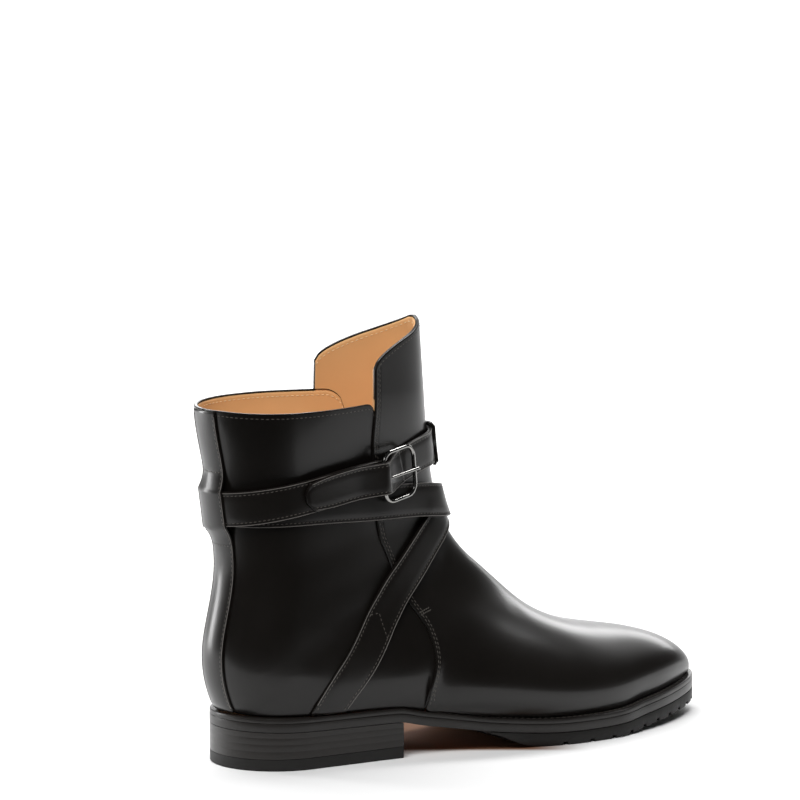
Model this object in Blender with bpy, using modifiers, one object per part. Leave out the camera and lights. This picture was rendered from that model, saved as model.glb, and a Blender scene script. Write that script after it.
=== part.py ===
"""Ankle boot with crossed straps, right foot, as separate solids in one frame.

The upper is a fan of rings. A ring starts at a base point, which runs down the back line and
then forward along the feather line, and it goes over to a front point, which runs down the
front line to the toe. Lengths are shares of the named sizes. Toe along +X, wearer's left
along +Y, up along +Z.
"""
import math

import bmesh
import bpy
import numpy as np
from mathutils import Matrix, Vector
from mathutils.bvhtree import BVHTree

MM = 0.001

# driving sizes, in millimetres
FOOT_LENGTH = 300.0
BALL_WIDTH = 105.0
COLLAR_HEIGHT = 185.0
TONGUE_RISE = 41.0
HEEL_RISE = 20.4
HEEL_LENGTH = 90.0
TOP_LIFT = 6.0
OUTSOLE = 4.6
WELT = 2.4
TREAD = 6.6
TOE_SPRING = 7.0
TREAD_GROOVE = 1.6
UPPER_WALL = 1.7
OVERLAY_STEP = 1.2
STRAP_WIDTH = 18.0
STRAP_THICK = 1.8
STRIP_WIDTH = 21.0
STRIP_THICK = 1.4
TAB_WIDTH = 14.0
TAB_THICK = 1.6
BUCKLE_LENGTH = 19.0
BUCKLE_HEIGHT = 26.0
BUCKLE_WIRE = 2.6
PRONG_WIRE = 1.8
INSOLE_RISE = 1.5
INSOLE_ROOM = 0.8
SEAT = 0.3
DRAPE_ROOM = 0.3

# sole outline: share of length, lateral and medial half width as shares of ball width,
# and how far the welt stands out beyond the upper, as a share of ball width
OUTLINE = (
    # along, lateral, medial, welt
    (0.00, 0.325, 0.325, 0.018),
    (0.12, 0.330, 0.330, 0.018),
    (0.28, 0.338, 0.300, 0.019),
    (0.42, 0.388, 0.268, 0.028),
    (0.52, 0.463, 0.320, 0.042),
    (0.64, 0.520, 0.440, 0.054),
    (0.72, 0.503, 0.478, 0.056),
    (0.80, 0.425, 0.457, 0.055),
    (0.93, 0.309, 0.405, 0.053),
    (1.00, 0.262, 0.350, 0.052),
)
HEEL_ROUND = 0.115
TOE_ROUND = 0.205
TOE_POWER = 2.2
TOE_CENTRE = 0.046

# underside of the leather sole: share of length, share of the rise from ball to heel,
# share of the toe spring
SOLE_LINE = (
    # along, heel, spring
    (0.00, 1.000, 0.000),
    (0.15, 0.935, 0.000),
    (0.29, 0.890, 0.000),
    (0.34, 0.674, 0.000),
    (0.40, 0.450, 0.000),
    (0.453, 0.260, 0.000),
    (0.50, 0.145, 0.000),
    (0.56, 0.035, 0.000),
    (0.60, 0.000, 0.000),
    (0.68, 0.000, 0.000),
    (0.74, 0.000, 0.090),
    (0.81, 0.000, 0.370),
    (0.89, 0.000, 0.630),
    (1.00, 0.000, 1.000),
)
TREAD_START = 0.465
TREAD_FULL = 0.535
GROOVES = (0.60, 0.655, 0.705, 0.75, 0.79, 0.83, 0.87, 0.905, 0.94, 0.97)

# rings of the upper. Front points are shares of length (x) and of collar height (z). Base
# points are the same down to the ninth row; from there on base_x is the share of the
# feather line's run from the heel's back to the toe. Half widths are shares of ball width;
# widest is the share of the ring's run where it is widest; the powers are the roundness;
# shift is the crest's move to the medial side, as a share of ball width.
RINGS = (
    # base_x, base_z, front_x, front_z, lateral, medial, widest, p_front, p_base, shift
    (-0.028, 1.300, 0.389, 1.300, 0.258, 0.258, 0.25, 1.86, 2.00, 0.000),
    (-0.020, 1.000, 0.403, 1.000, 0.258, 0.258, 0.25, 1.84, 2.00, 0.000),
    (-0.009, 0.815, 0.420, 0.815, 0.264, 0.264, 0.25, 1.82, 2.00, 0.000),
    (0.006, 0.641, 0.438, 0.690, 0.268, 0.268, 0.25, 1.80, 2.00, 0.004),
    (0.008, 0.522, 0.452, 0.636, 0.278, 0.274, 0.24, 1.78, 2.00, 0.007),
    (-0.004, 0.413, 0.469, 0.592, 0.292, 0.284, 0.23, 1.75, 2.00, 0.011),
    (-0.014, 0.315, 0.488, 0.554, 0.306, 0.294, 0.215, 1.72, 2.00, 0.015),
    (-0.009, 0.228, 0.509, 0.521, 0.314, 0.302, 0.200, 1.70, 2.00, 0.019),
    (0.000, 0.000, 0.533, 0.490, 0.322, 0.308, 0.190, 1.68, 2.00, 0.023),
    (0.150, 0.000, 0.576, 0.432, 0.345, 0.314, 0.200, 1.67, 2.00, 0.029),
    (0.265, 0.000, 0.603, 0.396, 0.362, 0.318, 0.220, 1.67, 2.00, 0.034),
    (0.355, 0.000, 0.630, 0.363, 0.390, 0.325, 0.240, 1.68, 2.00, 0.038),
    (0.435, 0.000, 0.660, 0.335, 0.430, 0.352, 0.26, 1.70, 2.00, 0.042),
    (0.510, 0.000, 0.694, 0.311, 0.460, 0.390, 0.27, 1.76, 2.00, 0.047),
    (0.580, 0.000, 0.732, 0.293, 0.478, 0.424, 0.28, 1.86, 2.00, 0.051),
    (0.647, 0.000, 0.773, 0.279, 0.474, 0.440, 0.29, 1.96, 2.00, 0.052),
    (0.711, 0.000, 0.817, 0.267, 0.446, 0.434, 0.30, 2.06, 2.00, 0.052),
    (0.770, 0.000, 0.862, 0.254, 0.396, 0.408, 0.31, 2.12, 2.00, 0.050),
    (0.824, 0.000, 0.902, 0.237, 0.338, 0.368, 0.32, 2.16, 2.00, 0.048),
    (0.870, 0.000, 0.936, 0.215, 0.274, 0.312, 0.33, 2.18, 2.00, 0.047),
    (0.908, 0.000, 0.961, 0.187, 0.218, 0.258, 0.34, 2.20, 2.00, 0.046),
    (0.938, 0.000, 0.976, 0.155, 0.166, 0.204, 0.35, 2.20, 2.00, 0.046),
    (0.962, 0.000, 0.981, 0.100, 0.116, 0.152, 0.38, 2.20, 2.00, 0.046),
)
FIRST_FOOT_ROW = 8

# rear edge of the front piece, seen from the side: height as a share of collar height,
# length as a share of foot length
SEAM = (
    (0.080, 0.330),
    (0.141, 0.343),
    (0.190, 0.361),
    (0.225, 0.372),
    (0.264, 0.374),
    (0.310, 0.366),
    (0.364, 0.348),
    (0.420, 0.330),
    (0.530, 0.303),
    (0.660, 0.274),
    (0.870, 0.260),
    (1.000, 0.270),
    (1.300, 0.272),
)

# top edge of the tongue: share of the way from its middle to its side, share of its rise
TONGUE_EDGE = (
    (0.00, 1.00),
    (0.12, 0.94),
    (0.35, 0.84),
    (0.62, 0.73),
    (0.86, 0.60),
    (0.95, 0.52),
    (1.00, 0.42),
)
CORNER_DROP = 0.025

def column(table, index):
    """One column of a table as an array."""
    return np.array([row[index] for row in table], float)


def smooth(xs, ys, x):
    """Shape-keeping cubic through the points (xs, ys) at x."""
    xs = np.asarray(xs, float)
    ys = np.asarray(ys, float)
    step = np.diff(xs)
    slope = np.diff(ys) / step
    tangent = np.zeros_like(ys)
    both = slope[:-1] * slope[1:]
    total = np.where(both > 0.0, slope[:-1] + slope[1:], 1.0)
    tangent[1:-1] = np.where(both > 0.0, 2.0 * both / total, 0.0)
    tangent[0] = slope[0]
    tangent[-1] = slope[-1]
    x = np.clip(np.asarray(x, float), xs[0], xs[-1])
    i = np.clip(np.searchsorted(xs, x, side="right") - 1, 0, len(xs) - 2)
    h = step[i]
    t = (x - xs[i]) / h
    a = (1.0 + 2.0 * t) * (1.0 - t) ** 2
    b = t * (1.0 - t) ** 2
    c = t * t * (3.0 - 2.0 * t)
    d = t * t * (t - 1.0)
    return a * ys[i] + b * h * tangent[i] + c * ys[i + 1] + d * h * tangent[i + 1]


def natural(values, t):
    """Natural cubic spline through evenly numbered values at t."""
    y = np.asarray(values, float)
    n = len(y)
    system = np.zeros((n, n))
    right = np.zeros(n)
    system[0, 0] = 1.0
    system[-1, -1] = 1.0
    for i in range(1, n - 1):
        system[i, i - 1] = 1.0
        system[i, i] = 4.0
        system[i, i + 1] = 1.0
        right[i] = 6.0 * (y[i + 1] - 2.0 * y[i] + y[i - 1])
    m = np.linalg.solve(system, right)
    t = np.clip(np.asarray(t, float), 0.0, n - 1.0)
    i = np.clip(t.astype(int), 0, n - 2)
    f = t - i
    g = 1.0 - f
    curve = (m[i] * g ** 3 + m[i + 1] * f ** 3) / 6.0
    return curve + (y[i] - m[i] / 6.0) * g + (y[i + 1] - m[i + 1] / 6.0) * f


def ease(t):
    """Smooth step from 0 to 1."""
    t = np.clip(t, 0.0, 1.0)
    return t * t * (3.0 - 2.0 * t)


def outline_sides(s):
    """Lateral and medial y of the sole's edge at a share s of the length.

    The sides come from the table; both ends are rounded about the centre line.
    """
    s = np.asarray(s, float)
    centre = TOE_CENTRE * BALL_WIDTH * ease(s)
    heel = np.clip((HEEL_ROUND - s) / HEEL_ROUND, 0.0, 1.0)
    toe = np.clip((s - (1.0 - TOE_ROUND)) / TOE_ROUND, 0.0, 1.0)
    factor = np.sqrt(1.0 - heel ** 2) * (1.0 - toe ** TOE_POWER) ** (1.0 / TOE_POWER)
    lateral = -smooth(column(OUTLINE, 0), column(OUTLINE, 1), s) * BALL_WIDTH
    medial = smooth(column(OUTLINE, 0), column(OUTLINE, 2), s) * BALL_WIDTH
    return centre + (lateral - centre) * factor, centre + (medial - centre) * factor


def outline_loop(count, inset=None):
    """Closed outline (x, y) from the heel's back along the lateral side to the toe and back.

    inset gives how far the loop lies inside the sole's edge, at a share of the length.
    """
    a = np.linspace(0.0, math.pi, count // 2 + 1)
    s = 0.5 - 0.5 * np.cos(a)
    lateral, medial = outline_sides(s)
    x = s * FOOT_LENGTH
    low = np.stack([x, lateral], 1)
    high = np.stack([x[-2:0:-1], medial[-2:0:-1]], 1)
    pts = np.concatenate([low, high])
    if inset is None:
        return pts
    ahead = np.roll(pts, -1, 0) - np.roll(pts, 1, 0)
    normal = np.stack([-ahead[:, 1], ahead[:, 0]], 1)
    normal /= np.linalg.norm(normal, axis=1)[:, None]
    return pts + normal * inset(pts[:, 0] / FOOT_LENGTH)[:, None]


def welt_out(s):
    """How far the welt stands out beyond the upper, at a share of the length."""
    return smooth(column(OUTLINE, 0), column(OUTLINE, 3), s) * BALL_WIDTH


def sole_under(x):
    """Height of the underside of the leather sole: ball level, plus the rise to the heel
    and the toe spring, each times its own share."""
    s = np.asarray(x, float) / FOOT_LENGTH
    ball = TREAD + SEAT
    rise = smooth(column(SOLE_LINE, 0), column(SOLE_LINE, 1), s) * (HEEL_RISE - ball)
    spring = smooth(column(SOLE_LINE, 0), column(SOLE_LINE, 2), s) * TOE_SPRING
    return ball + rise + spring


def welt_top(x):
    """Height of the top of the welt."""
    return sole_under(x) + OUTSOLE + SEAT + WELT


FEATHER = outline_loop(400, welt_out)


def feather_point(share, side):
    """Point (x, y) of the upper's lower edge at a share of its run from heel to toe."""
    half = len(FEATHER) // 2
    run_pts = FEATHER[:half + 1] if side == 0 else np.concatenate([FEATHER[half:], FEATHER[:1]])[::-1]
    step = np.linalg.norm(np.diff(run_pts, axis=0), axis=1)
    run = np.concatenate([[0.0], np.cumsum(step)])
    run /= run[-1]
    return np.interp(share, run, run_pts[:, 0]), np.interp(share, run, run_pts[:, 1])


def ring(u, dense=80):
    """Dense points of the ring at row number u, as (lateral half, medial half).

    Each half runs from the base to the front. With q the share of the way and w the widest
    share, the half width is W (1 - ((q - w) / (1 - w)) ** p) ** (1 / p) ahead of w; behind
    it the width rises in the same way from the base's own half width.
    """
    row = [float(natural(column(RINGS, i), u)) for i in range(10)]
    front_x = row[2] * FOOT_LENGTH
    front_z = max(row[3] * COLLAR_HEIGHT, float(welt_top(front_x)) + SEAT)
    foot = u >= FIRST_FOOT_ROW
    bases = []
    for side in (0, 1):
        if foot:
            rows = np.arange(FIRST_FOOT_ROW, len(RINGS))
            share = float(smooth(rows, column(RINGS, 0)[FIRST_FOOT_ROW:], u))
            x, y = feather_point(share, side)
            bases.append((float(x), float(y), float(welt_top(x)) + SEAT))
        else:
            last = 1.0 * FIRST_FOOT_ROW
            heel_x, heel_y = feather_point(0.0, side)
            heel_z = float(welt_top(heel_x)) + SEAT
            xs = np.append(column(RINGS, 0)[:FIRST_FOOT_ROW] * FOOT_LENGTH, heel_x)
            zs = np.append(column(RINGS, 1)[:FIRST_FOOT_ROW] * COLLAR_HEIGHT, heel_z)
            t = min(u, last)
            bases.append((float(natural(xs, t)), 0.0, float(natural(zs, t))))
    centre_low = 0.5 * (bases[0][1] + bases[1][1])
    climb = 1.0 + 1.4 * float(ease((u - 3.0) / 5.5) * (1.0 - ease((u - 10.0) / 6.0)))
    halves = []
    for side in (0, 1):
        base = bases[side]
        width = row[4 + side] * BALL_WIDTH
        low = abs(base[1] - centre_low)
        width = max(width, low / 0.985 + 0.05)
        share = low / width
        power = row[8]
        start = math.asin(min(share, 1.0) ** (0.5 * power))
        a = np.linspace(start, 0.5 * math.pi, dense)
        b = np.linspace(0.0, 0.5 * math.pi, dense)[1:]
        wide = row[6]
        tau = 1.0 - np.abs(np.cos(a)) ** (2.0 / power)
        q_low = wide * (tau - tau[0]) / (1.0 - tau[0])
        g_low = np.sin(a) ** (2.0 / power)
        q_high = wide + (1.0 - wide) * np.sin(b) ** (2.0 / row[7])
        g_high = np.abs(np.cos(b)) ** (2.0 / row[7])
        g_high[-1] = 0.0
        q = np.concatenate([q_low, q_high])
        g = np.concatenate([g_low, g_high])
        lean = ease(q)
        y = centre_low * (1.0 - lean) + row[9] * BALL_WIDTH * lean
        y = y + (-1.0, 1.0)[side] * width * g
        x = base[0] + (front_x - base[0]) * q
        z = base[2] + (front_z - base[2]) * (1.0 - (1.0 - q) ** climb)
        halves.append(np.stack([x, y, z], 1))
    return halves


def run_shares(points):
    """Share of a polyline's length at each of its points."""
    step = np.linalg.norm(np.diff(points, axis=0), axis=1)
    run = np.concatenate([[0.0], np.cumsum(step)])
    return run / run[-1], run[-1]


def along(points, shares):
    """Points at the given shares of a polyline's length."""
    run, total = run_shares(points)
    return np.stack([np.interp(shares, run, points[:, i]) for i in range(3)], 1)


def seam_share(half):
    """Share of a ring half at which it crosses the front piece's rear edge, or None."""
    level = half[:, 2] / COLLAR_HEIGHT
    edge = smooth(column(SEAM, 0), column(SEAM, 1), level) * FOOT_LENGTH
    ahead = half[:, 0] - edge
    run, total = run_shares(half)
    cross = np.nonzero((ahead[:-1] < 0.0) & (ahead[1:] >= 0.0))[0]
    if len(cross) == 0:
        return None
    i = cross[0]
    f = -ahead[i] / (ahead[i + 1] - ahead[i])
    return run[i] + f * (run[i + 1] - run[i])


QUARTER_COLS = 8
FRONT_COLS = 8
SHAFT_ROWS = 15
HEEL_ROWS = 6
SIDE_ROWS = 5
FOOT_ROWS = 15
TONGUE_ROWS = 5
SEAM_LOW = 0.12
SEAM_FREE = 0.42
STEP_RUN = 0.9
CORNER_RUN = 4.0


def row_numbers():
    """Row numbers of the rings from the collar to the toe, closest around the heel."""
    first = float(FIRST_FOOT_ROW)
    shaft = np.linspace(1.0, first, SHAFT_ROWS)
    heel = np.linspace(first, first + 1.0, HEEL_ROWS + 1)[1:]
    side = np.linspace(first + 1.0, first + 3.0, SIDE_ROWS + 1)[1:]
    foot = np.linspace(first + 3.0, len(RINGS) - 1.0, FOOT_ROWS + 1)[1:]
    return np.concatenate([shaft, heel, side, foot])


def seam_columns(rows):
    """Share of the seam column on each side for each row; past the seam's end the column
    drifts to a share of its own."""
    shares = np.zeros((len(rows), 2))
    for side in (0, 1):
        left = None
        last = SEAM_FREE
        for i, u in enumerate(rows):
            found = seam_share(ring(u)[side])
            if found is not None and found >= SEAM_LOW and left is None:
                shares[i, side] = found
                last = found
            else:
                left = u if left is None else left
                shares[i, side] = last + (SEAM_FREE - last) * ease((u - left) / 4.0)
    return shares


def half_columns(half, seam):
    """Points of one ring half at the columns: quarter, step, front piece."""
    run, total = run_shares(half)
    quarter = np.linspace(0.0, 1.0, QUARTER_COLS) ** 1.25 * (seam - CORNER_RUN / total)
    front = np.linspace(seam + STEP_RUN / total, 1.0, FRONT_COLS + 1)
    return along(half, np.concatenate([quarter, [seam], front]))


def upper_grid():
    """Grid of the upper's base surface, with the rows of the tongue on top, and the share
    of the overlay's step at each point."""
    rows = row_numbers()
    seams = seam_columns(rows)
    grid = []
    lifts = []
    for i, u in enumerate(rows):
        halves = ring(u)
        sides = [half_columns(halves[k], seams[i, k]) for k in (0, 1)]
        row = np.concatenate([sides[0], sides[1][-2::-1]])
        level = row[:, 2] / COLLAR_HEIGHT
        edge = smooth(column(SEAM, 0), column(SEAM, 1), level) * FOOT_LENGTH
        grid.append(row)
        lifts.append((row[:, 0] > edge + 0.2 * STEP_RUN).astype(float))
    grid = np.array(grid)
    lifts = np.array(lifts)
    half = QUARTER_COLS + FRONT_COLS + 1
    middle = half
    cols = grid.shape[1]
    span = np.abs(np.arange(cols) - middle) / (FRONT_COLS + 0.0)
    drop = CORNER_DROP * COLLAR_HEIGHT
    fall = np.clip(2.0 - (span - 1.0) * FRONT_COLS, 0.0, 1.0)
    top_row = []
    for j in range(cols):
        height = COLLAR_HEIGHT
        if span[j] > 1.0:
            height -= drop * fall[j]
        lower = grid[1, j]
        t = (height - lower[2]) / (grid[0, j, 2] - lower[2])
        top_row.append(lower + (grid[0, j] - lower) * t)
    grid[0] = np.array(top_row)
    tall = ring(0.0)
    above = [half_columns(tall[k], seams[0, k]) for k in (0, 1)]
    above = np.concatenate([above[0], above[1][-2::-1]])
    rise = smooth(column(TONGUE_EDGE, 0), column(TONGUE_EDGE, 1), np.clip(span, 0.0, 1.0))
    extra = []
    for k in range(TONGUE_ROWS, 0, -1):
        target = COLLAR_HEIGHT + TONGUE_RISE * rise * k / TONGUE_ROWS
        t = (target - grid[0, :, 2]) / (above[:, 2] - grid[0, :, 2])
        extra.append(grid[0] + (above - grid[0]) * t[:, None])
    grid = np.concatenate([np.array(extra), grid])
    lifts = np.concatenate([np.repeat(lifts[:1], TONGUE_ROWS, 0), lifts])
    lifts[:TONGUE_ROWS + 1, middle - FRONT_COLS:middle + FRONT_COLS + 1] = 1.0
    return grid, lifts, span


def grid_normals(grid, closed_rows):
    """Outward unit normals of the grid; the back line is shared down to closed_rows."""
    ahead = np.zeros_like(grid)
    ahead[:, 1:-1] = grid[:, 2:] - grid[:, :-2]
    ahead[:, 0] = grid[:, 1] - grid[:, 0]
    ahead[:, -1] = grid[:, -1] - grid[:, -2]
    shared = grid[:closed_rows, 1] - grid[:closed_rows, -2]
    ahead[:closed_rows, 0] = shared
    ahead[:closed_rows, -1] = shared
    down = np.zeros_like(grid)
    down[1:-1] = grid[2:] - grid[:-2]
    down[0] = grid[1] - grid[0]
    down[-1] = grid[-1] - grid[-2]
    normal = np.cross(down, ahead)
    size = np.linalg.norm(normal, axis=2)
    size[size < 1e-9] = 1.0
    return normal / size[:, :, None]


def new_object(name, verts, faces, material, group, bevel=0.0):
    """Mesh object from points in millimetres, facing out."""
    mesh = bpy.data.meshes.new(name)
    mesh.from_pydata([tuple(float(c) * MM for c in v) for v in verts], [], faces)
    mesh.update()
    work = bmesh.new()
    work.from_mesh(mesh)
    bmesh.ops.remove_doubles(work, verts=work.verts, dist=2e-6)
    bmesh.ops.dissolve_degenerate(work, edges=work.edges, dist=1e-6)
    bmesh.ops.recalc_face_normals(work, faces=work.faces)
    if work.calc_volume(signed=True) < 0.0:
        bmesh.ops.reverse_faces(work, faces=work.faces)
    work.to_mesh(mesh)
    work.free()
    mesh.materials.append(material)
    body = bpy.data.objects.new(name, mesh)
    group.objects.link(body)
    if bevel > 0.0:
        edge = body.modifiers.new("edge", "BEVEL")
        edge.width = bevel * MM
        edge.segments = 1
        edge.limit_method = "ANGLE"
        edge.angle_limit = math.radians(50.0)
    return body


def ring_plate(outer, inner, low_of, high_of):
    """Verts and faces of a band between two loops in plan, with given undersides and tops."""
    n = len(outer)
    verts = []
    for loop, level in ((outer, low_of), (inner, low_of), (outer, high_of), (inner, high_of)):
        verts += [(p[0], p[1], float(level(p[0]))) for p in loop]
    faces = []
    for i in range(n):
        j = (i + 1) % n
        faces.append((i, j, n + j, n + i))
        faces.append((2 * n + i, 3 * n + i, 3 * n + j, 2 * n + j))
        faces.append((i, 2 * n + i, 2 * n + j, j))
        faces.append((n + i, n + j, 3 * n + j, 3 * n + i))
    return verts, faces


def strip_solid(xs, lateral, medial, low, high):
    """Verts and faces of a solid whose rows run straight across at each x."""
    verts = []
    for x, left, right, z0, z1 in zip(xs, lateral, medial, low, high):
        verts += [(x, left, z0), (x, right, z0), (x, right, z1), (x, left, z1)]
    faces = []
    last = 4 * (len(xs) - 1)
    for i in range(len(xs) - 1):
        a = 4 * i
        b = a + 4
        for k in range(4):
            m = (k + 1) % 4
            faces.append((a + k, b + k, b + m, a + m))
    faces.append((0, 1, 2, 3))
    faces.append((last, last + 3, last + 2, last + 1))
    return verts, faces


def spaced(start, end, count):
    """Values from start to end, closer together at both ends."""
    t = 0.5 - 0.5 * np.cos(np.linspace(0.0, math.pi, count))
    return start + (end - start) * t


def loop_sides(loop, xs):
    """Lateral and medial y of a closed loop at each x."""
    half = len(loop) // 2
    low = loop[:half + 1]
    high = np.concatenate([loop[half:], loop[:1]])[::-1]
    one = np.interp(xs, low[:, 0], low[:, 1])
    two = np.interp(xs, high[:, 0], high[:, 1])
    return one, two


def sole_stations():
    """Stations along the sole; the heel's front is one of them."""
    xs = np.append(spaced(0.0, FOOT_LENGTH, 46), HEEL_LENGTH)
    xs.sort()
    keep = np.abs(xs - HEEL_LENGTH) > 1.5
    keep |= xs == HEEL_LENGTH
    return xs[keep]


def build_outsole(material, group):
    """Leather sole, following the arch and the toe spring."""
    xs = sole_stations()
    lateral, medial = outline_sides(xs / FOOT_LENGTH)
    low = sole_under(xs)
    return new_object("outsole", *strip_solid(xs, lateral, medial, low, low + OUTSOLE), material, group)


def build_welt(material, group):
    """Band around the edge on top of the sole; the upper stands on it."""
    outer = outline_loop(76)
    inner = outline_loop(76, lambda s: welt_out(s) + UPPER_WALL)

    def under(x):
        return sole_under(x) + OUTSOLE + SEAT

    return new_object("welt", *ring_plate(outer, inner, under, welt_top), material, group)


def build_insole(material, group):
    """Plate that fills the welt and stands a little above it inside the upper."""
    loop = outline_loop(400, lambda s: welt_out(s) + UPPER_WALL + INSOLE_ROOM)
    xs = spaced(loop[:, 0].min() + 0.2, loop[:, 0].max() - 0.2, 36)
    lateral, medial = loop_sides(loop, xs)
    low = sole_under(xs) + OUTSOLE + SEAT
    high = welt_top(xs) + SEAT + INSOLE_RISE
    return new_object("insole", *strip_solid(xs, lateral, medial, low, high), material, group)


def build_tread(material, group):
    """Thick forefoot tread with grooves across; its middle is flat on the floor."""
    start = TREAD_START * FOOT_LENGTH
    full = TREAD_FULL * FOOT_LENGTH
    xs = list(np.linspace(start, full, 5)) + list(spaced(full, FOOT_LENGTH, 26)[1:])
    half = 1.7
    wall = 0.5
    keep = []
    for x in xs:
        near = [abs(x - g * FOOT_LENGTH) for g in GROOVES]
        if min(near) > half + 0.8:
            keep.append((x, 0.0))
    for g in GROOVES:
        c = g * FOOT_LENGTH
        keep += [(c - half, 0.0), (c - half + wall, 1.0), (c + half - wall, 1.0), (c + half, 0.0)]
    keep.sort()
    xs = np.array([k[0] for k in keep])
    deep = np.array([k[1] for k in keep])
    lateral, medial = outline_sides(xs / FOOT_LENGTH)
    high = sole_under(xs) - SEAT
    ramp = 1.0 - ease((xs - start) / (full - start))
    low = high - TREAD + ramp * (TREAD - 1.2) + deep * TREAD_GROOVE
    return new_object("forefoot_tread", *strip_solid(xs, lateral, medial, low, high), material, group)


def build_heel(block_material, lift_material, group):
    """Stacked heel with a straight front, and its flat top lift."""
    xs = sole_stations()
    xs = xs[xs <= HEEL_LENGTH]
    lateral, medial = outline_sides(xs / FOOT_LENGTH)
    high = sole_under(xs) - SEAT
    low = np.full(len(xs), TOP_LIFT + SEAT)
    block = new_object("heel_stack", *strip_solid(xs, lateral, medial, low, high), block_material, group)
    low = np.zeros(len(xs))
    high = np.full(len(xs), TOP_LIFT)
    lift = new_object("top_lift", *strip_solid(xs, lateral, medial, low, high), lift_material, group)
    return block, lift


def build_upper(material, group):
    """Hollow upper with an even wall, a step at the front piece's rear edge, and a tongue."""
    grid, lifts, span = upper_grid()
    rows, cols = grid.shape[:2]
    closed = TONGUE_ROWS + SHAFT_ROWS
    normal = grid_normals(grid, closed)
    outer = grid + normal * (lifts * OVERLAY_STEP)[:, :, None]
    inner = grid - normal * UPPER_WALL
    flat = normal.copy()
    flat[:, :, 2] = 0.0
    flat /= np.maximum(np.linalg.norm(flat, axis=2), 1e-9)[:, :, None]
    edges = [(i, j) for i in range(closed - 1, rows) for j in (0, cols - 1)]
    edges += [(rows - 1, j) for j in range(cols)]
    for i, j in edges:
        outer[i, j] = grid[i, j] + flat[i, j] * lifts[i, j] * OVERLAY_STEP
        inner[i, j] = grid[i, j] - flat[i, j] * UPPER_WALL
    inner[:, :, 2] = np.maximum(inner[:, :, 2], welt_top(inner[:, :, 0]) + SEAT)
    outer[:, :, 2] = np.maximum(outer[:, :, 2], welt_top(outer[:, :, 0]) + SEAT)
    middle = QUARTER_COLS + 1 + FRONT_COLS
    count = rows * cols

    def number(i, j):
        if j == cols - 1 and i < closed:
            j = 0
        return i * cols + j

    faces = []
    seen = {}
    for i in range(rows - 1):
        for j in range(cols - 1):
            front = j >= middle - FRONT_COLS and j + 1 <= middle + FRONT_COLS
            if i < TONGUE_ROWS and not front:
                continue
            quad = (number(i, j), number(i + 1, j), number(i + 1, j + 1), number(i, j + 1))
            one = np.linalg.norm(grid[i, j] - grid[i + 1, j + 1])
            two = np.linalg.norm(grid[i + 1, j] - grid[i, j + 1])
            if one <= two:
                faces += [(quad[0], quad[1], quad[2]), (quad[0], quad[2], quad[3])]
            else:
                faces += [(quad[0], quad[1], quad[3]), (quad[1], quad[2], quad[3])]
            for k in range(4):
                a, b = quad[k], quad[(k + 1) % 4]
                if (b, a) in seen:
                    del seen[(b, a)]
                else:
                    seen[(a, b)] = True
    shell = list(faces)
    shell += [tuple(count + k for k in quad)[::-1] for quad in faces]
    shell += [(b, a, count + a, count + b) for a, b in seen]
    verts = np.concatenate([outer.reshape(-1, 3), inner.reshape(-1, 3)])
    used = sorted({k for face in shell for k in face})
    lookup = {k: n for n, k in enumerate(used)}
    shell = [tuple(lookup[k] for k in face) for face in shell]
    skin = BVHTree.FromPolygons(
        [tuple(v) for v in outer.reshape(-1, 3)], faces, all_triangles=False)
    return new_object("upper", verts[used], shell, material, group), skin


# strap paths: bearing around the ankle axis in degrees (0 front, -90 lateral, 90 medial,
# each turn going on), height as a share of collar height
ANKLE_AXIS = 0.233
BUCKLE_STRAP = (
    # bearing, height
    (-127.0, 0.172),
    (-114.0, 0.226),
    (-102.0, 0.272),
    (-77.0, 0.381),
    (-46.4, 0.487),
    (-26.5, 0.566),
    (-12.0, 0.636),
    (8.0, 0.694),
    (35.0, 0.722),
    (70.0, 0.730),
    (110.0, 0.731),
    (150.0, 0.728),
    (180.0, 0.726),
    (199.0, 0.736),
    (224.0, 0.765),
    (250.5, 0.784),
    (275.0, 0.790),
    (296.5, 0.794),
)
BUCKLE_STRAP_SPLIT = 7.5
FREE_STRAP = (
    (127.0, 0.172),
    (114.0, 0.226),
    (102.0, 0.272),
    (77.0, 0.381),
    (46.4, 0.487),
    (26.5, 0.570),
    (10.0, 0.645),
    (-8.0, 0.692),
    (-30.0, 0.714),
    (-80.0, 0.718),
    (-125.0, 0.724),
    (-155.0, 0.726),
    (-180.0, 0.728),
    (-210.0, 0.742),
    (-250.0, 0.775),
    (-290.0, 0.818),
    (-325.0, 0.852),
    (-358.0, 0.857),
    (-382.0, 0.836),
    (-400.0, 0.812),
    (-428.0, 0.793),
    (-469.5, 0.784),
    (-496.0, 0.765),
    (-503.5, 0.756),
)
FREE_STRAP_SPLIT = 18.9
FREE_STRAP_CLOSE = (17.6, 21.0, 2.8)
STRIP_TOP = 0.988
STRIP_FOOT = 0.158
TAB_TOP = 0.915
TAB_FOOT = 0.795
BUCKLE_BEARING = -50.0
BUCKLE_LEVEL = 0.796
BUCKLE_SLOPE = -8.0


def cast(skin, bearing, height):
    """Point and normal where a level line from the ankle axis leaves the upper."""
    a = math.radians(bearing)
    start = Vector((ANKLE_AXIS * FOOT_LENGTH, 0.0, height))
    ahead = Vector((math.cos(a), math.sin(a), 0.0))
    best = None
    where, normal, index, distance = skin.ray_cast(start + ahead * 400.0, -ahead)
    return np.array(where), np.array(normal)


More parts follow.
